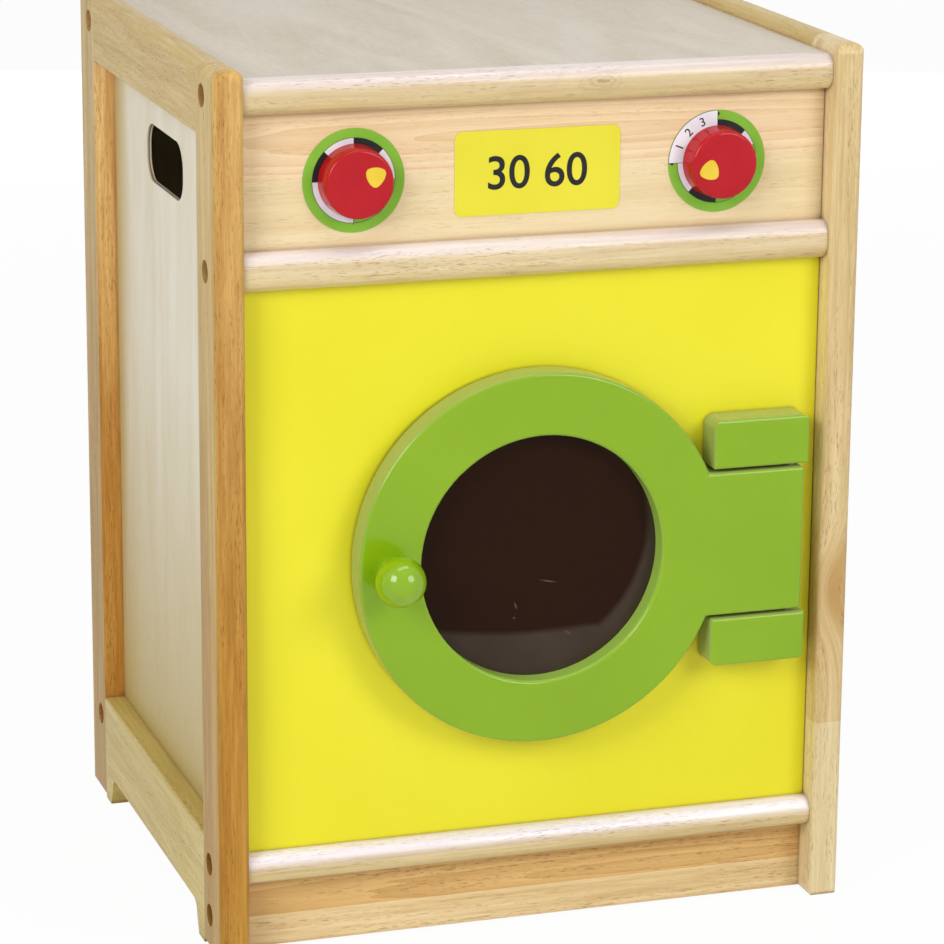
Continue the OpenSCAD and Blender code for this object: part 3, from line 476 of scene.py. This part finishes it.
# The yellow's corner tone is painted shade at its joints.
yellow_paint = smooth_finish(
    "yellow_paint", rgb(240, 232, 48), rgb(234, 226, 38), (0.3, 0.38), drift=5,
    peel_depth=0.012, specular=0.3, corner=rgb(150, 98, 10))
green_paint = smooth_finish("green_paint", **GREEN)
ring_paint = smooth_finish("ring_paint", **GREEN, hole=(pane_middle, rgb(166, 204, 84)))
knob_paint = smooth_finish(
    "knob_paint", rgb(140, 180, 14), rgb(134, 174, 10), drift=60, specular=0.5, **MOULDED)
red_plastic = smooth_finish(
    "red_plastic", rgb(188, 20, 34), rgb(180, 16, 28), drift=40, specular=0.25, **MOULDED)
yellow_film = smooth_finish(
    "yellow_film", rgb(235, 226, 62), rgb(230, 220, 54), drift=12, **FILM)
pointer_film = smooth_finish(
    "pointer_film", rgb(238, 208, 66), rgb(232, 198, 56), drift=60, **FILM)
green_print = smooth_finish(
    "green_print", rgb(134, 192, 58), rgb(124, 182, 48), drift=40, **FILM)
white_print = smooth_finish(
    "white_print", rgb(240, 238, 244), rgb(228, 226, 236), (0.3, 0.36), **INK_COAT)
black_print = smooth_finish(
    "black_print", rgb(28, 26, 30), rgb(18, 16, 20), (0.3, 0.4), **INK_COAT)
steel = smooth_finish(
    "steel", rgb(196, 198, 202), rgb(172, 174, 180), (0.22, 0.38), drift=300, peel=2400,
    peel_depth=0.008, metallic=1.0)
print("paints, plastics and films made")

# %% [markdown]
# ## Smoked window
# The window is a disc of dark acrylic. From the front it is almost black, with a brown cast. Its
# lowest part and a band along its right edge are a little greyer: a painted reflection of the floor
# in front of it. Use has left a few short scratches. The edges of the grey part and each scratch
# are
# ellipses: a Mapping node brings an ellipse to a unit circle, and the distance from its middle does
# the rest.

# %% Smoked acrylic
SMOKE, FLOOR_REFLECTION, SCRATCH = rgb(42, 22, 11), rgb(72, 60, 53), rgb(112, 86, 74)
# Sideways and up from the pane's middle, half width and half height
LOW_EDGE = (0.090, 0.020, 0.150, 0.075)
RIGHT_EDGE = (-0.010, 0.016, 0.086, 0.086)
BELOW = (0, 0.060, 0.200, 0.113)
SCRATCHES = ((0.008, -0.019, 7 * MM, 0.7 * MM, -0.22), (-0.014, -0.034, 0.8 * MM, 3.2 * MM, 0.35),
             (-0.015, -0.042, 1.0 * MM, 1.0 * MM, 0), (0.022, -0.055, 4 * MM, 0.6 * MM, -0.6))


def ellipse_distance(tree, place, across, up, width, height, turn=0.0):
    """0 at a point of the pane, 1 on the edge of an ellipse round it."""
    centre = pane_middle + Vector((across, 0, up))
    centred = from_point(tree, place.outputs["Object"], centre)
    turned = add(tree, "ShaderNodeMapping", {"Vector": centred, "Rotation": (0, turn, 0)})
    unit = add(tree, "ShaderNodeMapping", {
        "Vector": turned.outputs[0], "Scale": (1 / width, 0, 1 / height)})
    return length_of(tree, unit.outputs[0])


smoked_acrylic, tree, shader, place = new_material("smoked_acrylic")
wipe_and_reflection_noise = noise(tree, place.outputs["Object"], 16, 3, 1.0)
# Painted reflection: the floor in front shows faintly, greyer, in the pane's lowest part and along
# its right edge.
low_edge = spread(tree, ellipse_distance(tree, place, *LOW_EDGE), 0.97, 1.03)
right_edge = spread(tree, ellipse_distance(tree, place, *RIGHT_EDGE), 0.98, 1.03)
below = spread(tree, ellipse_distance(tree, place, *BELOW), 0.98, 1.02)
painted_reflection = calculate(tree, "MAXIMUM", times(tree, below, low_edge), right_edge)
painted_reflection = times(tree, painted_reflection, spread(tree, wipe_and_reflection_noise, 0.1, 0.7, 0.6, 1.0))
glass = blend_colour(tree, painted_reflection, SMOKE, FLOOR_REFLECTION)
for scratch in SCRATCHES:
    inside = spread(tree, ellipse_distance(tree, place, *scratch), 1, 0.2)
    glass = blend_colour(tree, times(tree, inside, 0.8), glass, SCRATCH)
tree.links.new(glass, shader.inputs["Base Color"])
tree.links.new(spread(tree, wipe_and_reflection_noise, 0.3, 0.75, 0.05, 0.12), shader.inputs["Roughness"])
shader.inputs["Specular IOR Level"].default_value = 0.06
print("pane is", round(pane_radius * 2000), "mm across")

# %% [markdown]
# ## Dressing the solids
# Each solid already has a material slot. Putting a finish into it changes the look and nothing
# else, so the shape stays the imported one. A few solids get a finish of their own.

# %% Dress the solids
finishes = {
    "post_wood": post_wood, "pale_post_wood": pale_post_wood, "rail_wood": rail_wood,
    "moulding_wood": moulding_wood, "control_wood": control_wood, "kick_wood": kick_wood,
    "plywood": side_ply, "yellow_paint": yellow_paint, "green_paint": green_paint,
    "red_plastic": red_plastic, "yellow_film": yellow_film, "dial_print": green_print,
    "smoked_acrylic": smoked_acrylic, "beech": beech, "steel": steel,
}
own_finish = {
    "top_board": top_ply, "floor_board": top_ply, "back_panel": back_ply,
    "left_rear_post": rear_post_wood, "lower_nosing": low_nosing_wood,
    "left_bottom_rail": low_rail_wood, "right_bottom_rail": low_rail_wood,
    "left_pointer": pointer_film, "right_pointer": pointer_film,
    "door_knob": knob_paint, "door_ring": ring_paint,
}
for part in frame["record"]["subparts"]:
    mesh = nodes[part["node"]].data
    finish = own_finish.get(part["node"], finishes[part["material_slot"]])
    for index in range(len(mesh.materials)):
        mesh.materials[index] = finish

# %% [markdown]
# ## Printed dials
# Under each knob lies a printed disc: a green rim, and inside a thin dark line a circle of black
# and white fields that count the turns. Ink has hardly any thickness, but two faces in one plane
# flicker, so each field is a sliver of a solid that stands a few hundredths of a millimetre proud.

# %% Printed slivers
INK = 0.05 * MM
SLICE_STEP = 2.5  # degrees
dials = {}
for side in ("left", "right"):
    low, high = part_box(side + "_dial")
    dials[side] = {"middle": (low + high) / 2, "radius": (high.x - low.x) / 2, "front": low.y}


def finish_piece(name, bm, material, body):
    """Turns a bmesh into a piece that rides on a body."""
    bmesh.ops.remove_doubles(bm, verts=bm.verts, dist=1e-7)
    bmesh.ops.recalc_face_normals(bm, faces=bm.faces)
    mesh = bpy.data.meshes.new(name)
    bm.to_mesh(mesh)
    bm.free()
    mesh.materials.append(material)
    piece = bpy.data.objects.new(name, mesh)
    bpy.context.scene.collection.objects.link(piece)
    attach(piece, body)


def ring_field(bm, dial, inner, outer, start, end, thickness=INK):
    """A slice of a flat ring, between two radii and two angles, in front of a dial."""
    count = max(2, math.ceil((end - start) / SLICE_STEP))
    rows = []
    for i in range(count + 1):
        angle = math.radians(start + (end - start) * i / count)
        row = []
        for radius, depth in ((inner, 0), (outer, 0), (outer, thickness), (inner, thickness)):
            row.append(bm.verts.new((
                dial["middle"].x + radius * math.cos(angle), dial["front"] - depth,
                dial["middle"].z + radius * math.sin(angle))))
        rows.append(row)
    for first, second in zip(rows, rows[1:]):
        for k in range(4):
            bm.faces.new((first[k], first[(k + 1) % 4], second[(k + 1) % 4], second[k]))
    if end - start < 360:
        bm.faces.new(rows[0])
        bm.faces.new(reversed(rows[-1]))


# %% [markdown]
# The fields are angles in degrees, counted upwards from the dial's right side. One piece holds all
# the fields of one ink, and the line round them is a thin ring that stands a little prouder.

# %% Fields and lines
FIELDS = {
    "left": {"white": [(0, 45), (90, 135), (180, 270)], "black": [(45, 90), (135, 180)]},
    "right": {"white": [(22, 45), (180, 225)], "black": [(45, 90), (225, 270)]},
}
INNER_CIRCLE, FIELD_START = 0.81, 0.62
LINE = 0.3 * MM
inks = {"white": white_print, "black": black_print}
for side, colours in FIELDS.items():
    dial = dials[side]
    circle = dial["radius"] * INNER_CIRCLE
    for colour, spans in colours.items():
        bm = bmesh.new()
        for start, end in spans:
            ring_field(bm, dial, circle * FIELD_START, circle, start, end)
        finish_piece(f"{side}_dial_{colour}_fields", bm, inks[colour], "cabinet")
    bm = bmesh.new()
    ring_field(bm, dial, circle, circle + LINE, 0, 360, INK * 1.4)
    if side == "left":
        ring_field(bm, dial, circle * 0.9, circle * 1.05, 269.6, 270.4, INK * 2)
    finish_piece(f"{side}_dial_line", bm, black_print, "cabinet")
print("printed", len(FIELDS), "dials, inner circle", round(circle * 1000, 1), "mm")

# %% [markdown]
# The right dial also has a white quarter that reaches over the rim. Thin lines edge it, with a
# short tick outside each end.

# %% White quarter
dial = dials["right"]
rim = dial["radius"]
arc, half_line = 0.25 * MM, 0.35
quarter_ink, line_ink = INK * 1.8, INK * 2.2
bm = bmesh.new()
ring_field(bm, dial, rim * 0.5, rim - arc, 90, 180, quarter_ink)
finish_piece("right_dial_white_quarter", bm, white_print, "cabinet")
bm = bmesh.new()
ring_field(bm, dial, rim - arc, rim, 90, 180, quarter_ink)
for angle, tick_start, tick_end in ((90, 87.8, 89.61), (180, 180.4, 182.21)):
    ring_field(bm, dial, rim * 0.6, rim - 0.1 * MM, angle - half_line, angle + half_line, line_ink)
    ring_field(bm, dial, rim * 0.9, rim * 0.96, tick_start, tick_end, line_ink)
finish_piece("right_dial_quarter_lines", bm, black_print, "cabinet")
print("white quarter reaches", round(rim * 1000, 1), "mm from the dial's middle")

# %% [markdown]
# ## Plain numbers
# The dial's white quarter and the yellow label carry plain numbers. A text object is turned into a
# mesh first, and its place is applied after that, so that the finished piece sits at the origin.

# %% Plain numbers
DIGIT_SHARE, BOLDER = 0.7, 0.014
UPRIGHT = Matrix.Rotation(math.radians(90), 4, "X")


def number_mesh(text, height, depth):
    """A text's mesh, flat in XY, centred, with digits of a given height."""
    curve = bpy.data.curves.new("number", "FONT")
    curve.body = text
    curve.align_x = "CENTER"
    curve.size = height / DIGIT_SHARE
    curve.extrude = depth / 2
    curve.offset = height * BOLDER
    curve.resolution_u = 6
    holder = bpy.data.objects.new("number", curve)
    bpy.context.scene.collection.objects.link(holder)
    bpy.context.view_layer.update()
    evaluated = holder.evaluated_get(bpy.context.evaluated_depsgraph_get())
    mesh = bpy.data.meshes.new_from_object(evaluated)
    bpy.data.objects.remove(holder)
    bpy.data.curves.remove(curve)
    low = Vector(map(min, zip(*(v.co for v in mesh.vertices))))
    high = Vector(map(max, zip(*(v.co for v in mesh.vertices))))
    mesh.transform(Matrix.Translation(-(low + high) / 2))
    return mesh


def stand_number(bm, text, height, place, turn=0.0):
    """Adds a text that faces the front at a place, turned about its own middle."""
    mesh = number_mesh(text, height, INK)
    mesh.transform(Matrix.Translation(place) @ UPRIGHT @ Matrix.Rotation(turn, 4, "Z"))
    bm.from_mesh(mesh)
    bpy.data.meshes.remove(mesh)


# %% [markdown]
# The dial's digits lean with the rim, so each is turned by its own angle on the dial. The label's
# digits stand upright.

# %% Set the numbers
dial_digit, label_digit = 5.6 * MM, 21 * MM
bm = bmesh.new()
for text, angle in (("1", 158), ("2", 135), ("3", 112)):
    turn = math.radians(angle)
    spot = dial["middle"] + Vector((math.cos(turn), 0, math.sin(turn))) * rim * 0.84
    spot.y = dial["front"] - INK * 2.0
    stand_number(bm, text, dial_digit, spot, turn - math.radians(90))
finish_piece("right_dial_numbers", bm, black_print, "cabinet")

low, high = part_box("label_plate")
label_face = Vector(((low.x + high.x) / 2, low.y - INK / 2, (low.z + high.z) / 2))
bm = bmesh.new()
stand_number(bm, "30 60", label_digit, label_face)
finish_piece("label_numbers", bm, black_print, "cabinet")
print("label is", round((high.x - low.x) * 1000), "mm wide")

# %% [markdown]
# ## Screws and bolts
# Eighteen pan-head screws hold the back, the hinge blocks and the window, and twelve socket-head
# bolts pull the frame together at the bottom of their counterbores. Each kind is turned from a
# profile once. The drives are cut with a Boolean, because a recess is a shape and not a shade.

# %% Turned fasteners
def turned_mesh(profile, segments, knurl=0.0):
    """A closed piece turned about Z from (radius, height) pairs. knurl notches its widest part."""
    bm = bmesh.new()
    widest = max(r for r, z in profile)
    rows = []
    for r, z in profile:
        if r == 0:
            rows.append([bm.verts.new((0, 0, z))])
            continue
        row = []
        for k in range(segments):
            radius = r * (1 - knurl * (k % 2) * (r == widest))
            turn = 2 * math.pi * k / segments
            row.append(bm.verts.new((radius * math.cos(turn), radius * math.sin(turn), z)))
        rows.append(row)
    for first, second in zip(rows, rows[1:]):
        for k in range(segments):
            a, b = first[k % len(first)], first[(k + 1) % len(first)]
            c, d = second[(k + 1) % len(second)], second[k % len(second)]
            # At a pole two corners are one point, and the face is a triangle
            bm.faces.new(dict.fromkeys((a, b, c, d)))
    bmesh.ops.recalc_face_normals(bm, faces=bm.faces)
    mesh = bpy.data.meshes.new("turned")
    bm.to_mesh(mesh)
    bm.free()
    return mesh


def holder_of(mesh, name):
    holder = bpy.data.objects.new(name, mesh)
    bpy.context.scene.collection.objects.link(holder)
    return holder


def baked(holder):
    """The plain mesh that an object's modifiers make."""
    bpy.context.view_layer.update()
    graph = bpy.context.evaluated_depsgraph_get()
    return bpy.data.meshes.new_from_object(holder.evaluated_get(graph))


def cut(body, tool):
    """Takes a tool out of a body."""
    modifier = body.modifiers.new("cut", "BOOLEAN")
    modifier.object = tool
    modifier.solver = "EXACT"
    mesh = baked(body)
    body.modifiers.remove(modifier)
    body.data = mesh
    bpy.data.objects.remove(tool)
    return body


def drive_tool(points, depth, top):
    """A tapered plug that cuts a drive of the given outline into a head."""
    bm = bmesh.new()
    upper = [bm.verts.new((x, y, top + depth)) for x, y in points]
    lower = [bm.verts.new((x * 0.8, y * 0.8, top - depth)) for x, y in points]
    bm.faces.new(upper)
    bm.faces.new(reversed(lower))
    for k in range(len(points)):
        n = (k + 1) % len(points)
        bm.faces.new((upper[k], lower[k], lower[n], upper[n]))
    bmesh.ops.recalc_face_normals(bm, faces=bm.faces)
    mesh = bpy.data.meshes.new("drive")
    bm.to_mesh(mesh)
    bm.free()
    return holder_of(mesh, "drive")


# %% [markdown]
# A pan head is a low dome, and a socket head a drum with a knurled rim for the fingers. The thread
# is drawn as plain ridges, because a true spiral would cost many faces and hardly shows.

# %% Screw and bolt
def ridged_shank(radius, length, pitch=1.0 * MM):
    """The profile of a threaded shank, from under the head to its tip."""
    count = int(length / pitch)
    root = 0.82
    ridges = [(radius * (1 if k % 2 else root), -pitch * (k + 1) / 2)
              for k in range(2 * count - 2)]
    return [(radius, 0)] + ridges + [(radius * 0.5, -length + radius * 0.4), (0, -length)]


def pan_screw(head_radius, head_height, shank_radius, length):
    """A pan-head screw with a cross recess."""
    crown = [(head_radius * math.sin(math.radians(t)),
              head_height * (0.42 + 0.58 * math.cos(math.radians(t))))
             for t in (12, 25, 38, 52, 68, 82)]
    profile = [(0, head_height)] + crown + [(head_radius, head_height * 0.3), (head_radius, 0)]
    body = holder_of(turned_mesh(profile + ridged_shank(shank_radius, length), 28), "screw")
    arm, half = head_radius * 0.62, head_radius * 0.13
    outline = []
    for k in range(4):
        quarter = Matrix.Rotation(k * math.pi / 2, 2)
        outline += [quarter @ Vector(point) for point in ((arm, -half), (arm, half), (half, half))]
    return cut(body, drive_tool(outline, head_height * 0.7, head_height))


def socket_bolt(head_radius, head_height, shank_radius, length, flats):
    """A socket-head bolt with a knurled rim and a hexagon in its head."""
    rim = 0.6 * MM
    profile = [(0, head_height), (head_radius - 1.4 * rim, head_height),
               (head_radius - 0.4 * rim, head_height - rim * 0.4),
               (head_radius, head_height - rim), (head_radius, rim), (head_radius - rim, 0)]
    profile += ridged_shank(shank_radius, length, 2 * MM)
    body = holder_of(turned_mesh(profile, 60, knurl=0.035), "bolt")
    corner = flats / 2 / math.cos(math.pi / 6)
    turns = [k * math.pi / 3 for k in range(6)]
    outline = [(corner * math.cos(turn), corner * math.sin(turn)) for turn in turns]
    return cut(body, drive_tool(outline, head_height / 2, head_height))


# %% [markdown]
# One tree of Geometry Nodes sets them all: it puts a fastener on each point of a mesh, turns it as
# the point's own `facing` says, gives it a chance turn about its axis, as no two screws stop at the
# same angle, and makes everything real. The random node's sockets are numbered, because it has one
# set for each type of value: 2 and 3 are the least and the most of the decimal ones.

# %% Tree that sets fasteners on points
fastener_tree = bpy.data.node_groups.new("set_fasteners", "GeometryNodeTree")
sockets = {}
for label, kind in (("Geometry", "NodeSocketGeometry"), ("Fastener", "NodeSocketObject"),
                    ("Largest turn", "NodeSocketFloat"), ("Seed", "NodeSocketInt"),
                    ("Finish", "NodeSocketMaterial")):
    sockets[label] = fastener_tree.interface.new_socket(
        label, in_out="INPUT", socket_type=kind).identifier
fastener_tree.interface.new_socket("Geometry", in_out="OUTPUT", socket_type="NodeSocketGeometry")
given = fastener_tree.nodes.new("NodeGroupInput").outputs
chosen = add(fastener_tree, "GeometryNodeObjectInfo", {"Object": given["Fastener"]})
facing = add(fastener_tree, "GeometryNodeInputNamedAttribute", {"Name": "facing"},
             data_type="FLOAT_VECTOR")
placed = add(fastener_tree, "GeometryNodeInstanceOnPoints", {
    "Points": given["Geometry"], "Instance": chosen.outputs["Geometry"],
    "Rotation": facing.outputs["Attribute"],
})
chance = add(fastener_tree, "FunctionNodeRandomValue", {
    2: 0.0, 3: given["Largest turn"], "Seed": given["Seed"],
})
about_axis = add(fastener_tree, "ShaderNodeCombineXYZ", {"Z": chance.outputs[1]})
turned = add(fastener_tree, "GeometryNodeRotateInstances", {
    "Instances": placed.outputs[0], "Rotation": about_axis.outputs[0],
})
real = add(fastener_tree, "GeometryNodeRealizeInstances", {"Geometry": turned.outputs[0]})
finished = add(fastener_tree, "GeometryNodeSetMaterial", {
    "Geometry": real.outputs[0], "Material": given["Finish"],
})
add(fastener_tree, "NodeGroupOutput", {0: finished.outputs[0]})


def set_fasteners(name, fastener, places, body, replaced, seed):
    """Sets a fastener at each (place, facing) and makes one plain piece of them all."""
    points = bpy.data.meshes.new("points")
    points.from_pydata([tuple(p) for p, f in places], [], [])
    facings = points.attributes.new("facing", "FLOAT_VECTOR", "POINT")
    for k, (p, f) in enumerate(places):
        facings.data[k].vector = f
    host = holder_of(points, "host")
    modifier = host.modifiers.new("fasteners", "NODES")
    modifier.node_group = fastener_tree
    modifier[sockets["Fastener"]] = fastener
    modifier[sockets["Largest turn"]] = 2 * math.pi
    modifier[sockets["Seed"]] = seed
    modifier[sockets["Finish"]] = steel
    mesh = baked(host)
    bpy.data.objects.remove(host)
    bpy.data.objects.remove(fastener)
    piece = holder_of(mesh, name)
    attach(piece, body)
    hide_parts(replaced)
    print(name, len(places), "pieces,", len(mesh.polygons), "faces")


# %% [markdown]
# The places come from the solids' own boxes: the back's screws in the edges of the top and floor
# boards, the blocks' screws behind the blocks, the pane's on a circle, and the bolts in line with
# the boards and rails that they pull on.

# %% Screws
PANEL_SCREW = {"head_radius": 3 * MM, "head_height": 1.8 * MM, "shank_radius": 1.5 * MM}
BLOCK_SCREW = {"head_radius": 4 * MM, "head_height": 2.8 * MM, "shank_radius": 2 * MM}
TO_BACK = (-math.pi / 2, 0, 0)

top_low, top_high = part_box("top_board")
floor_low, floor_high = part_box("floor_board")
back_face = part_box("back_panel")[1].y
rows = [(top_low.z + top_high.z) / 2, (floor_low.z + floor_high.z) / 2]
width = top_high.x - top_low.x
places = [(Vector((top_low.x + width * (k + 0.5) / 4, back_face, z)), TO_BACK)
          for z in rows for k in range(4)]
set_fasteners("back_panel_screws", pan_screw(**PANEL_SCREW, length=15 * MM), places,
              "cabinet", "back_screws", 3)

head_low, head_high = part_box("hinge_screws")
head = BLOCK_SCREW["head_radius"]
front_panel_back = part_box("front_panel")[1].y
places = [(Vector((x, front_panel_back, (low.z + high.z) / 2)), TO_BACK)
          for low, high in (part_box("upper_hinge_block"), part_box("lower_hinge_block"))
          for x in (head_low.x + head, head_high.x - head)]
set_fasteners("hinge_block_screws", pan_screw(**BLOCK_SCREW, length=28 * MM), places,
              "cabinet", "hinge_screws", 5)

screw_circle = pane_radius - 4.6 * MM
places = []
for k in range(6):
    turn = math.radians(30 + 60 * k)
    places.append((Vector((pane_middle.x + screw_circle * math.cos(turn), pane_high.y,
                           pane_middle.z + screw_circle * math.sin(turn))), TO_BACK))
set_fasteners("pane_screws", pan_screw(**PANEL_SCREW, length=11.5 * MM), places, "door",
              "window_screws", 7)

# %% [markdown]
# Six bolts go through each side: four in line with the top and floor boards, one with the middle
# rail and one with the kick board. Their heads rest on the floors of the counterbores.

# %% Bolts
TO_LEFT, TO_RIGHT = (0, -math.pi / 2, 0), (0, math.pi / 2, 0)
corner_y = 28 * MM
kick_bolt_z = 24 * MM
seat = 6 * MM

front_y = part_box("left_front_post")[0].y + corner_y
rear_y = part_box("left_rear_post")[1].y - corner_y
rail_low, rail_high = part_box("middle_rail")
kick_low, kick_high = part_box("kick_board")
spots = [(front_y, rows[0]), (front_y, rows[1]),
         ((rail_low.y + rail_high.y) / 2, (rail_low.z + rail_high.z) / 2),
         ((kick_low.y + kick_high.y) / 2, kick_bolt_z),
         (rear_y, rows[0]), (rear_y, rows[1])]
bolt_low, bolt_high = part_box("frame_bolts")
places = [(Vector((bolt_low.x + seat, y, z)), TO_LEFT) for y, z in spots]
places += [(Vector((bolt_high.x - seat, y, z)), TO_RIGHT) for y, z in spots]
frame_bolt = socket_bolt(head_radius=5 * MM, head_height=seat, shank_radius=3 * MM,
                         length=50 * MM, flats=5 * MM)
set_fasteners("frame_socket_bolts", frame_bolt, places, "cabinet", "frame_bolts", 11)

# %% [markdown]
# ## Moulding marks
# Each red knob was moulded in one piece. Where the plastic ran into the mould, in the middle of
# the face, it left a tiny raised dot.

# %% Moulding marks
DOT = [(0, 0.16 * MM), (0.3 * MM, 0.14 * MM), (0.5 * MM, 0.08 * MM), (0.6 * MM, -0.1 * MM),
       (0, -0.1 * MM)]
for side in ("left", "right"):
    low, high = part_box(side + "_knob")
    face = Vector(((low.x + high.x) / 2, low.y, (low.z + high.z) / 2))
    mark = turned_mesh(DOT, 20)
    mark.transform(Matrix.Translation(face) @ UPRIGHT)
    bm = bmesh.new()
    bm.from_mesh(mark)
    finish_piece(side + "_knob_mark", bm, red_plastic, side + "_dial_knob")
print("marks are", round(2000 * DOT[3][0], 1), "mm across")

# %% [markdown]
# ## Floor, light and backdrop
# The toy stood in a white studio. The floor keeps the toy's shadow, but to the camera and in
# reflections it is mostly plain white.

# %% Floor
PAPER = (0.86, 0.86, 0.86, 1.0)
WHITE = (1, 1, 1, 1)
PLAIN_SHARE = 0.96


def seen_directly(tree):
    """1 for the camera and for what it sees in gloss and glass, 0 for the light on the toy."""
    path = add(tree, "ShaderNodeLightPath").outputs
    reflected = calculate(tree, "MAXIMUM", path["Is Glossy Ray"], path["Is Transmission Ray"])
    return calculate(tree, "MAXIMUM", path["Is Camera Ray"], reflected)


bpy.ops.mesh.primitive_grid_add(x_subdivisions=8, y_subdivisions=8, size=60)
floor = bpy.context.object
floor.name = "studio_floor"
floor_material = bpy.data.materials.new("studio_white")
floor_material.use_nodes = True
tree = floor_material.node_tree
tree.nodes.clear()
paper = add(tree, "ShaderNodeBsdfDiffuse", {"Color": PAPER})
plain = add(tree, "ShaderNodeEmission", {"Color": WHITE, "Strength": 1.0})
both = add(tree, "ShaderNodeMixShader", {
    0: times(tree, seen_directly(tree), PLAIN_SHARE), 1: paper.outputs[0], 2: plain.outputs[0]})
add(tree, "ShaderNodeOutputMaterial", {"Surface": both.outputs[0]})
floor.data.materials.append(floor_material)
print("floor keeps", round(1 - PLAIN_SHARE, 2), "of its shade")

# %% [markdown]
# The light itself stays at a plain level: a pale sky all round, a strip overhead for the gleam
# along the rounded edges, and three soft boxes, two in front and one behind, so that no side of the
# toy stands in the dark. The one behind stands lower than the toy's top and shows in no gloss,
# because it would glare on the top and along the sides.

# %% Sky and lamps
SKY = (1, 0.98, 0.95, 1)
SKY_STRENGTH = 0.38

world = bpy.data.worlds.new("studio_sky")
bpy.context.scene.world = world
world.use_nodes = True
tree = world.node_tree
tree.nodes.clear()
sky = add(tree, "ShaderNodeBackground", {"Color": SKY, "Strength": SKY_STRENGTH})
wall = add(tree, "ShaderNodeBackground", {"Color": WHITE, "Strength": 1.0})
both = add(tree, "ShaderNodeMixShader", {
    0: seen_directly(tree), 1: sky.outputs[0], 2: wall.outputs[0]})
add(tree, "ShaderNodeOutputWorld", {"Surface": both.outputs[0]})


def soft_lamp(name, place, aim, size, watts, gleams=True):
    """A soft box of light. One that doesn't gleam shows in no glossy surface."""
    data = bpy.data.lights.new(name, "AREA")
    data.shape = "RECTANGLE"
    data.size, data.size_y = size
    data.energy = watts
    lamp = bpy.data.objects.new(name, data)
    bpy.context.scene.collection.objects.link(lamp)
    lamp.location = place
    lamp.visible_glossy = gleams
    lamp.rotation_euler = (Vector(aim) - Vector(place)).to_track_quat("-Z", "Y").to_euler()


soft_lamp("overhead_strip", (0.1, -0.45, 2.3), aim=(0, -0.1, 0.3), size=(1.6, 0.4), watts=8)
soft_lamp("right_box", (1.35, -2.2, 1.45), aim=(0, 0, 0.3), size=(1.2, 1.2), watts=24)
soft_lamp("left_box", (-2.0, -1.6, 1.6), aim=(0, 0, 0.3), size=(1.2, 1.2), watts=35)
soft_lamp("back_box", (0.9, 3.2, 0.28), aim=(0, 0, 0.28), size=(1.6, 0.5), watts=32,
          gleams=False)
bpy.context.scene.view_settings.view_transform = "Standard"
print("lamps:", len(bpy.data.lights))
